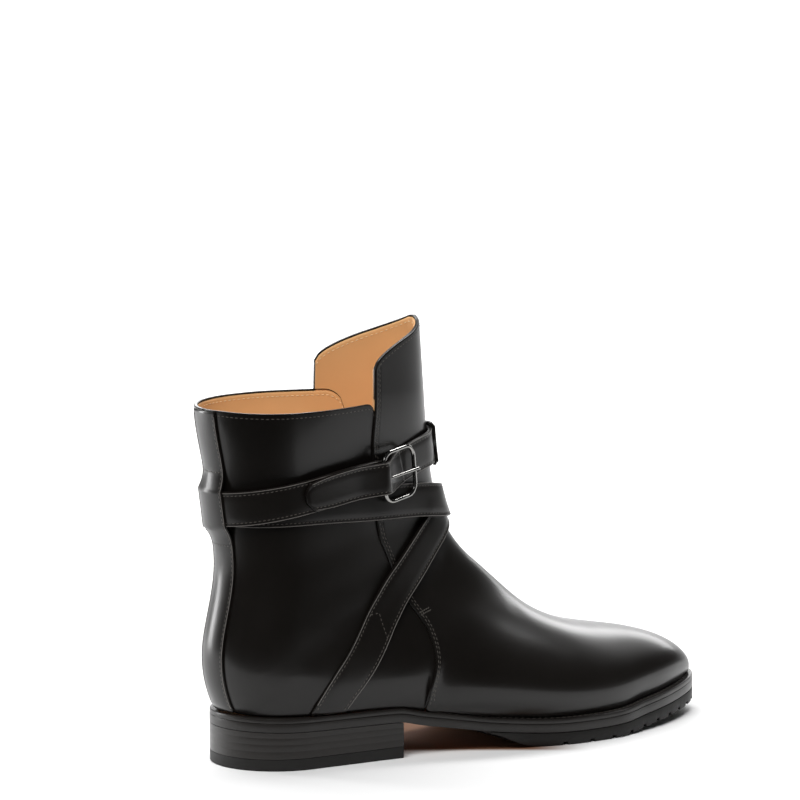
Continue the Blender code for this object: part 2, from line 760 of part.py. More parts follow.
def band_frame(skin, path, width, count, across, tip=0.0, close=None, level_foot=False):
    """Foot points and outward directions of a strap laid on the upper.

    Each station is a point P on the skin with the skin's smoothed normal N. Points across
    are the nearest skin points to P + C w, with C at right angles to the run and to N.
    Between the two path rows in close the stations lie closer by the factor in close.
    With level_foot the first stations are skewed so that the strap ends level on the welt.
    """
    table = np.array(path, float)
    t = np.linspace(0.0, len(table) - 1.0, 500)
    if level_foot:
        spot = cast(skin, table[0, 0], table[0, 1] * COLLAR_HEIGHT)[0]
        table[0, 1] = (float(welt_top(spot[0])) + 4.0 * SEAT) / COLLAR_HEIGHT
    bearing = natural(table[:, 0], t)
    height = natural(table[:, 1], t) * COLLAR_HEIGHT
    pts = np.array([cast(skin, b, h)[0] for b, h in zip(bearing, height)])
    for k in range(14):
        pts[1:-1] = 0.25 * (pts[:-2] + pts[2:]) + 0.5 * pts[1:-1]
    run, total = run_shares(pts)
    weight = np.ones(len(t) - 1)
    if close is not None:
        weight[(t[1:] > close[0]) & (t[1:] < close[1])] = close[2]
    filled = np.concatenate([[0.0], np.cumsum(np.diff(run) * weight)])
    shares = np.interp(np.linspace(0.0, 1.0, count), filled / filled[-1], run)
    centre = np.stack([np.interp(shares, run, pts[:, i]) for i in range(3)], 1)
    rows = np.interp(shares, run, t)
    ahead = np.gradient(centre, axis=0)
    ahead /= np.linalg.norm(ahead, axis=1)[:, None]
    normals = np.array([np.array(skin.find_nearest(Vector(p))[1]) for p in centre])
    for k in range(6):
        padded = np.concatenate([normals[:1], normals, normals[-1:]])
        normals = 0.25 * padded[:-2] + 0.5 * padded[1:-1] + 0.25 * padded[2:]
        normals /= np.linalg.norm(normals, axis=1)[:, None]
    side = np.cross(normals, ahead)
    side /= np.linalg.norm(side, axis=1)[:, None]
    offsets = np.linspace(-0.5, 0.5, across) * width
    left = (1.0 - shares) * total
    near = np.clip(1.0 - left / tip, 0.0, 1.0) if tip > 0.0 else np.zeros(count)
    scale = np.maximum(np.sqrt(1.0 - near ** 2), 0.30)
    foot = np.zeros((count, across, 3))
    out = np.zeros((count, across, 3))
    for i in range(count):
        for j in range(across):
            reach = offsets[j] * scale[i]
            slide = 0.0
            if level_foot:
                fade = max(0.0, 1.0 - i / 5.0)
                slide = -side[i, 2] * reach / max(ahead[i, 2], 0.3) * fade
            probe = Vector(centre[i] + side[i] * reach + ahead[i] * slide)
            where, normal, index, distance = skin.find_nearest(probe)
            foot[i, j] = where
            out[i, j] = normal
    for k in range(4):
        padded = np.concatenate([out[:1], out, out[-1:]])
        out = 0.25 * padded[:-2] + 0.5 * padded[1:-1] + 0.25 * padded[2:]
        padded = np.concatenate([out[:, :1], out, out[:, -1:]], 1)
        out = 0.25 * padded[:, :-2] + 0.5 * padded[:, 1:-1] + 0.25 * padded[:, 2:]
        out /= np.linalg.norm(out, axis=2)[:, :, None]
    return foot, out, rows


def settle(foot, out, lift, bodies):
    """Lift raised where the strap's inner face would come too near a body between points."""
    count, across = foot.shape[:2]
    lift = lift.copy()
    room = 0.8 * SEAT
    reach = 7.0
    fractions = [k / 6.0 for k in range(7)]
    for turn in range(3):
        low = foot + out * (lift + SEAT)[:, :, None]
        more = np.zeros((count, across))
        for i in range(count - 1):
            for j in range(across - 1):
                a, b = low[i, j], low[i, j + 1]
                c, d = low[i + 1, j], low[i + 1, j + 1]
                away = out[i, j] + out[i, j + 1] + out[i + 1, j] + out[i + 1, j + 1]
                away /= np.linalg.norm(away)
                worst = 0.0
                for f in fractions:
                    for g in fractions:
                        if g >= f:
                            spots = [a + (b - a) * g + (d - b) * f]
                        else:
                            spots = [a + (c - a) * f + (d - c) * g]
                        if f + g <= 1.0:
                            spots.append(a + (b - a) * g + (c - a) * f)
                        else:
                            spots.append(d + (c - d) * (1.0 - g) + (b - d) * (1.0 - f))
                        for spot in spots:
                            start = Vector(spot + away * reach)
                            for body in bodies:
                                hit = body.ray_cast(start, Vector(-away), reach + room)
                                if hit[0] is not None:
                                    worst = max(worst, reach + room - hit[3])
                if worst > 0.0:
                    block = more[i:i + 2, j:j + 2]
                    np.maximum(block, worst, out=block)
        lift += more
    return lift


def spread(values, reach):
    """Largest value within reach stations along, and one column across."""
    padded = np.pad(values, ((reach, reach), (1, 1)), mode="edge")
    n, m = values.shape
    best = np.full(values.shape, -1e9)
    for a in range(2 * reach + 1):
        for b in range(3):
            best = np.maximum(best, padded[a:a + n, b:b + m])
    return best


def soften(values):
    """Average with the stations next to each one."""
    padded = np.concatenate([values[:1], values, values[-1:]])
    return 0.25 * padded[:-2] + 0.5 * padded[1:-1] + 0.25 * padded[2:]


def drape(foot, out, under, wide=2):
    """Height at which a strap clears every body under it, smoothed along the strap."""
    need = np.zeros(foot.shape[:2])
    for body in under:
        for i in range(foot.shape[0]):
            for j in range(foot.shape[1]):
                start = Vector(foot[i, j] + out[i, j] * 16.0)
                where, normal, index, distance = body.ray_cast(start, Vector(-out[i, j]), 16.0)
                if where is not None:
                    need[i, j] = max(need[i, j], 16.0 - distance + DRAPE_ROOM)
    return np.maximum(spread(need, 1), soften(soften(spread(need, wide))))


def band_mesh(foot, out, lift, thick):
    """Verts and faces of a strap whose inner face stands off its foot points by the lift."""
    count, across = foot.shape[:2]
    low = foot + out * (lift + SEAT)[:, :, None]
    high = foot + out * (lift + SEAT + thick)[:, :, None]
    verts = np.concatenate([low.reshape(-1, 3), high.reshape(-1, 3)])
    size = count * across
    faces = []
    for i in range(count - 1):
        for j in range(across - 1):
            a = i * across + j
            faces.append((a, a + across, a + across + 1, a + 1))
            faces.append((size + a, size + a + 1, size + a + across + 1, size + a + across))
        for j in (0, across - 1):
            a = i * across + j
            faces.append((a, size + a, size + a + across, a + across))
    for i in (0, count - 1):
        for j in range(across - 1):
            a = i * across + j
            faces.append((a, a + 1, size + a + 1, size + a))
    return verts, faces


def tree(verts, faces):
    """Search tree of a body in millimetres."""
    return BVHTree.FromPolygons([tuple(v) for v in verts], faces)


def part_tree(foot, out, lift, thick, keep):
    """Search tree of the stations of a strap that are kept."""
    verts, faces = band_mesh(foot[keep], out[keep], lift[keep], thick)
    return tree(verts, faces)


def tube(path, radius, sides, closed):
    """Verts and faces of a round wire along a path."""
    pts = np.asarray(path, float)
    n = len(pts)
    if closed:
        ahead = np.roll(pts, -1, 0) - np.roll(pts, 1, 0)
    else:
        ahead = np.gradient(pts, axis=0)
    ahead /= np.linalg.norm(ahead, axis=1)[:, None]
    guide = np.cross(ahead[0], ahead[n // 3] + np.array([0.013, 0.017, 0.011]))
    guide /= np.linalg.norm(guide)
    verts = []
    for p, d in zip(pts, ahead):
        one = guide - d * float(guide @ d)
        one /= np.linalg.norm(one)
        two = np.cross(d, one)
        for k in range(sides):
            a = 2.0 * math.pi * k / sides
            verts.append(p + radius * (math.cos(a) * one + math.sin(a) * two))
    faces = []
    for i in range(n if closed else n - 1):
        m = (i + 1) % n
        for k in range(sides):
            j = (k + 1) % sides
            faces.append((i * sides + k, i * sides + j, m * sides + j, m * sides + k))
    if not closed:
        faces.append(tuple(range(sides)))
        faces.append(tuple((n - 1) * sides + k for k in range(sides))[::-1])
    return np.array(verts), faces


def buckle_place(skin):
    """Centre on the skin, direction along the strap, direction across it and outward."""
    where, normal = cast(skin, BUCKLE_BEARING, BUCKLE_LEVEL * COLLAR_HEIGHT)
    level = np.cross(np.array([0.0, 0.0, 1.0]), normal)
    level /= np.linalg.norm(level)
    up = np.cross(normal, level)
    a = math.radians(-BUCKLE_SLOPE)
    along_dir = math.cos(a) * level + math.sin(a) * up
    across_dir = np.cross(normal, along_dir)
    return where, along_dir, across_dir, normal


def buckle_frame(place, rear_height, front_height):
    """Rounded rectangle of wire, its rear bar higher than its front bar."""
    centre, one, two, out = place
    a = 0.5 * (BUCKLE_LENGTH - BUCKLE_WIRE)
    b = 0.5 * (BUCKLE_HEIGHT - BUCKLE_WIRE)
    r = 0.36 * a + 2.0
    path = []
    for cx, cy, start in ((a - r, b - r, 0.0), (r - a, b - r, 90.0), (r - a, r - b, 180.0),
                          (a - r, r - b, 270.0)):
        for k in range(5):
            t = math.radians(start + 22.5 * k)
            x = cx + r * math.cos(t)
            y = cy + r * math.sin(t)
            h = rear_height + (front_height - rear_height) * (x + a) / (2.0 * a)
            path.append(centre + one * x + two * y + out * h)
    return tube(path, 0.5 * BUCKLE_WIRE, 8, True)


def plain_material(name, colour, rough, metal=0.0):
    """Principled material with a flat colour."""
    made = bpy.data.materials.new(name)
    made.use_nodes = True
    shade = made.node_tree.nodes["Principled BSDF"]
    shade.inputs["Base Color"].default_value = (*colour, 1.0)
    shade.inputs["Roughness"].default_value = rough
    shade.inputs["Metallic"].default_value = metal
    return made


def build_straps(skin, strap, calf, metal, group, cutters):
    """The two straps laid over and under each other, the back strip, the tab and the buckle."""
    foot_1, out_1, rows_1 = band_frame(
        skin, BUCKLE_STRAP, STRAP_WIDTH, 60, 4, level_foot=True)
    foot_2, out_2, rows_2 = band_frame(
        skin, FREE_STRAP, STRAP_WIDTH, 106, 4, 9.0, FREE_STRAP_CLOSE, level_foot=True)
    lift_1 = np.zeros(foot_1.shape[:2])
    lift_2 = np.zeros(foot_2.shape[:2])
    first = rows_1 <= BUCKLE_STRAP_SPLIT + 1.0
    early = rows_2 <= FREE_STRAP_SPLIT
    lift_1 = settle(foot_1, out_1, lift_1, [skin])
    low = part_tree(foot_1, out_1, lift_1, STRAP_THICK, first)
    raised = drape(foot_2[early], out_2[early], [low])
    lift_2[early] = settle(foot_2[early], out_2[early], raised, [skin, low])
    middle = part_tree(foot_2, out_2, lift_2, STRAP_THICK, early)
    second = rows_1 > BUCKLE_STRAP_SPLIT
    k = int(np.sum(~second)) - 1
    lift_1[second] = np.maximum(lift_1[second], drape(foot_1[second], out_1[second], [middle]))
    lift_1[k + 1:] = settle(foot_1[k:], out_1[k:], lift_1[k:], [skin, middle])[1:]
    verts, faces = band_mesh(foot_1, out_1, lift_1, STRAP_THICK)
    new_object("buckle_strap", verts, faces, strap, group)
    outer_1 = tree(verts, faces)
    place = buckle_place(skin)
    half = 0.5 * (BUCKLE_LENGTH - BUCKLE_WIRE)
    heights = []
    for sign, bodies in ((-1.0, (outer_1, middle)), (1.0, (middle,))):
        best = 0.0
        for step in np.linspace(-0.5, 0.5, 7):
            spot = place[0] + place[1] * sign * half + place[2] * step * STRAP_WIDTH
            for body in bodies:
                start = Vector(spot + place[3] * 16.0)
                where, normal, index, distance = body.ray_cast(start, Vector(-place[3]), 24.0)
                if where is not None:
                    best = max(best, 16.0 - distance)
        heights.append(best + SEAT + 0.5 * BUCKLE_WIRE + 0.15)
    verts, faces = buckle_frame(place, heights[0], heights[1])
    new_object("buckle_frame", verts, faces, metal, group)
    behind = (verts - place[0]) @ place[1] < -1.0
    rear = tree(verts, [face for face in faces if all(behind[k] for k in face)])
    late = rows_2 > FREE_STRAP_SPLIT
    k = int(np.sum(early)) - 1
    lift_2[late] = drape(foot_2[late], out_2[late], [outer_1, rear], 1)
    lift_2[k + 1:] = settle(foot_2[k:], out_2[k:], lift_2[k:], [skin, outer_1, rear])[1:]
    verts, faces = band_mesh(foot_2, out_2, lift_2, STRAP_THICK)
    free = new_object("free_strap", verts, faces, strap, group)
    outer_2 = tree(verts, faces)
    cut = build_prong(place, half, heights, metal, group)
    slot(free, cut, cutters)
    levels = np.linspace(STRIP_TOP, STRIP_FOOT, 12)
    path = [(180.0, level) for level in levels]
    foot, out, rows = band_frame(skin, path, STRIP_WIDTH, 30, 5)
    bodies = [outer_1, outer_2]
    lift = settle(foot, out, drape(foot, out, bodies), [skin] + bodies)
    verts, faces = band_mesh(foot, out, lift, STRIP_THICK)
    new_object("back_strip", verts, faces, calf, group)
    levels = np.linspace(TAB_TOP, TAB_FOOT, 5)
    path = [(0.0, level) for level in levels]
    foot, out, rows = band_frame(skin, path, TAB_WIDTH, 10, 4)
    lift = settle(foot, out, drape(foot, out, [outer_2]), [skin, outer_2])
    verts, faces = band_mesh(foot, out, lift, TAB_THICK)
    new_object("front_tab", verts, faces, calf, group)
    return free


def build_prong(place, half, heights, metal, group):
    """Prong from the rear bar to the front bar, resting on the front bar; returns its path."""
    centre, one, two, out = place
    radius = 0.5 * PRONG_WIRE
    rear = -half + 0.5 * BUCKLE_WIRE + SEAT
    top = heights[1] + 0.5 * BUCKLE_WIRE + SEAT + radius
    pts = []
    for t in np.linspace(0.0, 1.0, 7):
        x = rear + (half + 1.6 - rear) * t
        h = heights[0] + (top - heights[0]) * float(ease(t * 1.15))
        pts.append(centre + one * x + out * h)
    verts, faces = tube(pts, radius, 8, False)
    new_object("buckle_prong", verts, faces, metal, group)
    pts[0] = pts[0] - (pts[1] - pts[0]) * 0.5
    return pts


def slot(body, path, cutters):
    """Cut a slot for the prong, wider by the seat, through the strap."""
    verts, faces = tube(path, 0.5 * PRONG_WIRE + SEAT, 8, False)
    tool = new_object("prong_slot", verts, faces, body.data.materials[0], cutters)
    tool.hide_render = True
    tool.display_type = "WIRE"
    cut = body.modifiers.new("slot", "BOOLEAN")
    cut.operation = "DIFFERENCE"
    cut.solver = "EXACT"
    cut.object = tool


def centre_pieces(bodies, group):
    """Move every body so that the boot's box stands centred on the origin, its foot at zero."""
    points = []
    for body in group.objects:
        flat = np.empty(len(body.data.vertices) * 3)
        body.data.vertices.foreach_get("co", flat)
        points.append(flat.reshape(-1, 3))
    points = np.vstack(points)
    low = points.min(axis=0)
    high = points.max(axis=0)
    move = Vector((-0.5 * (low[0] + high[0]), -0.5 * (low[1] + high[1]), -low[2]))
    for body in bodies:
        body.data.transform(Matrix.Translation(move))


def main():
    """Build every piece of the boot in one collection."""
    for body in list(bpy.data.objects):
        bpy.data.objects.remove(body, do_unlink=True)
    group = bpy.data.collections.new("jodhpur_boot")
    bpy.context.scene.collection.children.link(group)
    cutters = bpy.data.collections.new("cutters")
    bpy.context.scene.collection.children.link(cutters)
    calf = plain_material("upper_leather", (0.020, 0.017, 0.015), 0.28)
    strap = plain_material("strap_leather", (0.022, 0.018, 0.016), 0.30)
    sole = plain_material("sole_leather", (0.018, 0.015, 0.013), 0.42)
    stack = plain_material("heel_leather", (0.018, 0.015, 0.013), 0.42)
    rubber = plain_material("tread_rubber", (0.015, 0.015, 0.015), 0.65)
    lining = plain_material("insole_leather", (0.420, 0.250, 0.120), 0.60)
    build_outsole(sole, group)
    build_welt(sole, group)
    build_insole(lining, group)
    build_tread(rubber, group)
    build_heel(stack, rubber, group)
    upper, skin = build_upper(calf, group)
    metal = plain_material("buckle_metal", (0.30, 0.29, 0.28), 0.22, 1.0)
    build_straps(skin, strap, calf, metal, group, cutters)
    centre_pieces(list(group.objects) + list(cutters.objects), group)


main()
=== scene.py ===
"""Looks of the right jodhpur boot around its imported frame.

The leather panels are surfaces of two parameters: a row number u, which runs from the tongue
down the ankle and on to the toe, and a share of the way round from the back to the front.
Shape functions work in millimetres with the heel's back at x = 0; every piece is moved to the
frame's own origin and to metres when its mesh is made.
"""
import math

import bmesh
import bpy
import numpy as np
from mathutils import Matrix, Vector
from mathutils.bvhtree import BVHTree


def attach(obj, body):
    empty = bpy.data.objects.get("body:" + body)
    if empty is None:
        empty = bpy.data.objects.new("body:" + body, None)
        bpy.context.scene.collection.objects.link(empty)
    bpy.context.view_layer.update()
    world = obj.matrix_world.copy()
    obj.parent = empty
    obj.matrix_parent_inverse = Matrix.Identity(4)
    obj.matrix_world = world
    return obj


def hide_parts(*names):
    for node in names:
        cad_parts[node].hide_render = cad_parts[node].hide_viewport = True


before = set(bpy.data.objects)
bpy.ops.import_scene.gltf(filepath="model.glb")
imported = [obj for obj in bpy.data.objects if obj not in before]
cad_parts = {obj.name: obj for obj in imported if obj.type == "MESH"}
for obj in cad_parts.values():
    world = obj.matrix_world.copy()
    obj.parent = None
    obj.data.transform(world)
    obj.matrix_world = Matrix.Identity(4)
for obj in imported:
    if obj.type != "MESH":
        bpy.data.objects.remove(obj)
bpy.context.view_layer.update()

MM = 0.001
ORIGIN = np.array([-145.6881, 2.9746, 0.0])
# driving sizes, in millimetres
FOOT_LENGTH = 300.0
BALL_WIDTH = 105.0
COLLAR_HEIGHT = 185.0
TONGUE_RISE = 41.0
HEEL_RISE = 20.4
HEEL_LENGTH = 90.0
TOP_LIFT = 6.0
OUTSOLE = 4.6
WELT = 2.4
TREAD = 6.6
TOE_SPRING = 7.0
TREAD_GROOVE = 1.6
UPPER_WALL = 1.7
OVERLAY_STEP = 1.2
STRAP_WIDTH = 18.0
STRAP_THICK = 1.8
STRIP_WIDTH = 21.0
STRIP_THICK = 1.0
TAB_WIDTH = 14.0
TAB_THICK = 1.6
BUCKLE_LENGTH = 26.5
BUCKLE_HEIGHT = 28.5
BUCKLE_WIRE = 2.2
PRONG_WIRE = 1.8
INSOLE_RISE = 1.5
INSOLE_ROOM = 0.8
SEAT = 0.3
# distance out from which the height of what lies under a strap is probed
PROBE = 16.0
HEEL_COUNT = 150
# camera: turn and tilt, the point that it looks at across the picture and in height, its
# distance in millimetres, and focal length as a share of the picture's width
VIEW_TURN = math.radians(-33.0)
VIEW_TILT = math.radians(6.9)
VIEW_ACROSS = 92.9
VIEW_HEIGHT = 189.0
VIEW_DISTANCE = 2200.0
VIEW_FOCUS = 4331.5 / 800.0

# sole outline: share of length, lateral and medial half width as shares of ball width,
# and how far the welt stands out beyond the upper, as a share of ball width
OUTLINE = (
    # along, lateral, medial, welt
    (0.00, 0.325, 0.325, 0.018),
    (0.12, 0.330, 0.330, 0.018),
    (0.28, 0.338, 0.300, 0.019),
    (0.42, 0.388, 0.268, 0.028),
    (0.52, 0.463, 0.320, 0.042),
    (0.64, 0.520, 0.440, 0.054),
    (0.72, 0.503, 0.478, 0.056),
    (0.80, 0.425, 0.457, 0.055),
    (0.93, 0.309, 0.405, 0.053),
    (1.00, 0.262, 0.350, 0.052),
)
HEEL_ROUND = 0.115
TOE_ROUND = 0.205
TOE_POWER = 2.2
TOE_CENTRE = 0.046

# underside of the leather sole: share of length, share of the rise from ball to heel,
# share of the toe spring
SOLE_LINE = (
    # along, heel, spring
    (0.00, 1.000, 0.000),
    (0.15, 0.935, 0.000),
    (0.29, 0.890, 0.000),
    (0.34, 0.674, 0.000),
    (0.40, 0.450, 0.000),
    (0.453, 0.260, 0.000),
    (0.50, 0.145, 0.000),
    (0.56, 0.035, 0.000),
    (0.60, 0.000, 0.000),
    (0.68, 0.000, 0.000),
    (0.74, 0.000, 0.090),
    (0.81, 0.000, 0.370),
    (0.89, 0.000, 0.630),
    (1.00, 0.000, 1.000),
)
TREAD_START = 0.465
TREAD_FULL = 0.535
GROOVES = (0.60, 0.655, 0.705, 0.75, 0.79, 0.83, 0.87, 0.905, 0.94, 0.97)

# rings of the upper. Front points are shares of length (x) and of collar height (z). Base
# points are the same down to the ninth row; from there on base_x is the share of the
# feather line's run from the heel's back to the toe. Half widths are shares of ball width;
# widest is the share of the ring's run where it is widest; the powers are the roundness;
# shift is the crest's move to the medial side, as a share of ball width.
RINGS = (
    # base_x, base_z, front_x, front_z, lateral, medial, widest, p_front, p_base, shift
    (-0.028, 1.300, 0.389, 1.300, 0.258, 0.258, 0.25, 1.86, 2.00, 0.000),
    (-0.020, 1.000, 0.403, 1.000, 0.258, 0.258, 0.25, 1.84, 2.00, 0.000),
    (-0.009, 0.815, 0.420, 0.815, 0.264, 0.264, 0.25, 1.82, 2.00, 0.000),
    (0.006, 0.641, 0.438, 0.690, 0.268, 0.268, 0.25, 1.80, 2.00, 0.004),
    (0.008, 0.522, 0.452, 0.636, 0.278, 0.274, 0.24, 1.78, 2.00, 0.007),
    (-0.004, 0.413, 0.469, 0.592, 0.292, 0.284, 0.23, 1.75, 2.00, 0.011),
    (-0.014, 0.315, 0.488, 0.554, 0.306, 0.294, 0.215, 1.72, 2.00, 0.015),
    (-0.009, 0.228, 0.509, 0.521, 0.314, 0.302, 0.200, 1.70, 2.00, 0.019),
    (0.000, 0.000, 0.533, 0.490, 0.322, 0.308, 0.190, 1.68, 2.00, 0.023),
    (0.150, 0.000, 0.576, 0.432, 0.345, 0.314, 0.200, 1.67, 2.00, 0.029),
    (0.265, 0.000, 0.603, 0.396, 0.362, 0.318, 0.220, 1.67, 2.00, 0.034),
    (0.355, 0.000, 0.630, 0.363, 0.390, 0.325, 0.240, 1.68, 2.00, 0.038),
    (0.435, 0.000, 0.660, 0.335, 0.430, 0.352, 0.26, 1.70, 2.00, 0.042),
    (0.510, 0.000, 0.694, 0.311, 0.460, 0.390, 0.27, 1.76, 2.00, 0.047),
    (0.580, 0.000, 0.732, 0.293, 0.478, 0.424, 0.28, 1.86, 2.00, 0.051),
    (0.647, 0.000, 0.773, 0.279, 0.474, 0.440, 0.29, 1.96, 2.00, 0.052),
    (0.711, 0.000, 0.817, 0.267, 0.446, 0.434, 0.30, 2.06, 2.00, 0.052),
    (0.770, 0.000, 0.862, 0.254, 0.396, 0.408, 0.31, 2.12, 2.00, 0.050),
    (0.824, 0.000, 0.902, 0.237, 0.338, 0.368, 0.32, 2.16, 2.00, 0.048),
    (0.870, 0.000, 0.936, 0.215, 0.274, 0.312, 0.33, 2.18, 2.00, 0.047),
    (0.908, 0.000, 0.961, 0.187, 0.218, 0.258, 0.34, 2.20, 2.00, 0.046),
    (0.938, 0.000, 0.976, 0.155, 0.166, 0.204, 0.35, 2.20, 2.00, 0.046),
    (0.962, 0.000, 0.981, 0.100, 0.116, 0.152, 0.38, 2.20, 2.00, 0.046),
)
FIRST_FOOT_ROW = 8

# rear edge of the front piece, seen from the side: height as a share of collar height,
# length as a share of foot length
SEAM = (
    (0.080, 0.335), (0.138, 0.343), (0.189, 0.3455), (0.237, 0.3527), (0.272, 0.3571),
    (0.299, 0.3580), (0.342, 0.3555), (0.3815, 0.3470), (0.419, 0.3330), (0.4512, 0.3222),
    (0.514, 0.3036), (0.571, 0.2888), (0.626, 0.2735), (0.700, 0.2665), (0.870, 0.2620),
    (1.000, 0.270), (1.300, 0.272),
)

# top edge of the tongue: share of the way from its middle to its side, share of its rise
TONGUE_EDGE = ((0.00, 1.00), (0.12, 0.94), (0.35, 0.84), (0.62, 0.73), (0.86, 0.60),
               (0.95, 0.52), (1.00, 0.42))


def column(table, index):
    """One column of a table as an array."""
    return np.array([row[index] for row in table], float)


def looked_up(table, index, x):
    """Shape-keeping curve through a column of a table over its first column, at x."""
    return smooth(column(table, 0), column(table, index), x)


def smooth(xs, ys, x):
    """Shape-keeping cubic through the points (xs, ys) at x."""
    xs = np.asarray(xs, float)
    ys = np.asarray(ys, float)
    step = np.diff(xs)
    slope = np.diff(ys) / step
    tangent = np.zeros_like(ys)
    both = slope[:-1] * slope[1:]
    total = np.where(both > 0.0, slope[:-1] + slope[1:], 1.0)
    tangent[1:-1] = np.where(both > 0.0, 2.0 * both / total, 0.0)
    tangent[0] = slope[0]
    tangent[-1] = slope[-1]
    x = np.clip(np.asarray(x, float), xs[0], xs[-1])
    i = np.clip(np.searchsorted(xs, x, side="right") - 1, 0, len(xs) - 2)
    h = step[i]
    t = (x - xs[i]) / h
    a = (1.0 + 2.0 * t) * (1.0 - t) ** 2
    b = t * (1.0 - t) ** 2
    c = t * t * (3.0 - 2.0 * t)
    d = t * t * (t - 1.0)
    return a * ys[i] + b * h * tangent[i] + c * ys[i + 1] + d * h * tangent[i + 1]


def natural(values, t):
    """Natural cubic spline through evenly numbered values at t."""
    y = np.asarray(values, float)
    n = len(y)
    system = np.zeros((n, n))
    right = np.zeros(n)
    system[0, 0] = 1.0
    system[-1, -1] = 1.0
    for i in range(1, n - 1):
        system[i, i - 1] = 1.0
        system[i, i] = 4.0
        system[i, i + 1] = 1.0
        right[i] = 6.0 * (y[i + 1] - 2.0 * y[i] + y[i - 1])
    m = np.linalg.solve(system, right)
    t = np.clip(np.asarray(t, float), 0.0, n - 1.0)
    i = np.clip(t.astype(int), 0, n - 2)
    f = t - i
    g = 1.0 - f
    curve = (m[i] * g ** 3 + m[i + 1] * f ** 3) / 6.0
    return curve + (y[i] - m[i] / 6.0) * g + (y[i + 1] - m[i + 1] / 6.0) * f


def ease(t):
    """Smooth step from 0 to 1."""
    t = np.clip(t, 0.0, 1.0)
    return t * t * (3.0 - 2.0 * t)


def unit(vectors):
    """Vectors scaled to length 1."""
    return vectors / np.maximum(np.linalg.norm(vectors, axis=-1, keepdims=True), 1e-9)


def averaged(values, axis=0):
    """Half of each entry plus a quarter of each of its neighbours along an axis."""
    values = np.moveaxis(values, axis, 0)
    pad = np.concatenate([values[:1], values, values[-1:]])
    return np.moveaxis(0.25 * pad[:-2] + 0.5 * pad[1:-1] + 0.25 * pad[2:], 0, axis)


def run_of(points):
    """Length of a polyline up to each of its points."""
    return np.concatenate([[0.0], np.cumsum(np.linalg.norm(np.diff(points, axis=0), axis=1))])


def read_run(run, points, at):
    """Points of a polyline where its run reaches the given values."""
    return np.stack([np.interp(at, run, points[:, i]) for i in range(3)], 1)


def outline_sides(s):
    """Lateral and medial y of the sole's edge at a share s of the length.

    The sides come from the table; both ends are rounded about the centre line.
    """
    s = np.asarray(s, float)
    centre = TOE_CENTRE * BALL_WIDTH * ease(s)
    heel = np.clip((HEEL_ROUND - s) / HEEL_ROUND, 0.0, 1.0)
    toe = np.clip((s - (1.0 - TOE_ROUND)) / TOE_ROUND, 0.0, 1.0)
    factor = np.sqrt(1.0 - heel ** 2) * (1.0 - toe ** TOE_POWER) ** (1.0 / TOE_POWER)
    lateral = -looked_up(OUTLINE, 1, s) * BALL_WIDTH
    medial = looked_up(OUTLINE, 2, s) * BALL_WIDTH
    return centre + (lateral - centre) * factor, centre + (medial - centre) * factor


def outline_loop(count, inset):
    """Closed outline (x, y) from the heel's back along the lateral side to the toe and back.

    inset gives how far the loop lies inside the sole's edge, at a share of the length.
    """
    s = 0.5 - 0.5 * np.cos(np.linspace(0.0, math.pi, count // 2 + 1))
    lateral, medial = outline_sides(s)
    x = s * FOOT_LENGTH
    pts = np.concatenate([np.stack([x, lateral], 1), np.stack([x[-2:0:-1], medial[-2:0:-1]], 1)])
    ahead = np.roll(pts, -1, 0) - np.roll(pts, 1, 0)
    normal = unit(np.stack([-ahead[:, 1], ahead[:, 0]], 1))
    return pts + normal * inset(pts[:, 0] / FOOT_LENGTH)[:, None]


def welt_out(s):
    """How far the welt stands out beyond the upper, at a share of the length."""
    return looked_up(OUTLINE, 3, s) * BALL_WIDTH


def sole_under(x):
    """Height of the underside of the leather sole: ball level, plus the rise to the heel
    and the toe spring, each times its own share."""
    s = np.asarray(x, float) / FOOT_LENGTH
    ball = TREAD + SEAT
    rise = looked_up(SOLE_LINE, 1, s) * (HEEL_RISE - ball)
    return ball + rise + looked_up(SOLE_LINE, 2, s) * TOE_SPRING


def welt_top(x):
    """Height of the top of the welt."""
    return sole_under(x) + OUTSOLE + SEAT + WELT


FEATHER = outline_loop(1600, welt_out)


def feather_point(share, side):
    """Point (x, y) of the upper's lower edge at a share of its run from heel to toe."""
    half = len(FEATHER) // 2
    points = FEATHER[:half + 1]
    if side == 1:
        points = np.concatenate([FEATHER[half:], FEATHER[:1]])[::-1]
    run = run_shares(points)[0]
    return np.interp(share, run, points[:, 0]), np.interp(share, run, points[:, 1])


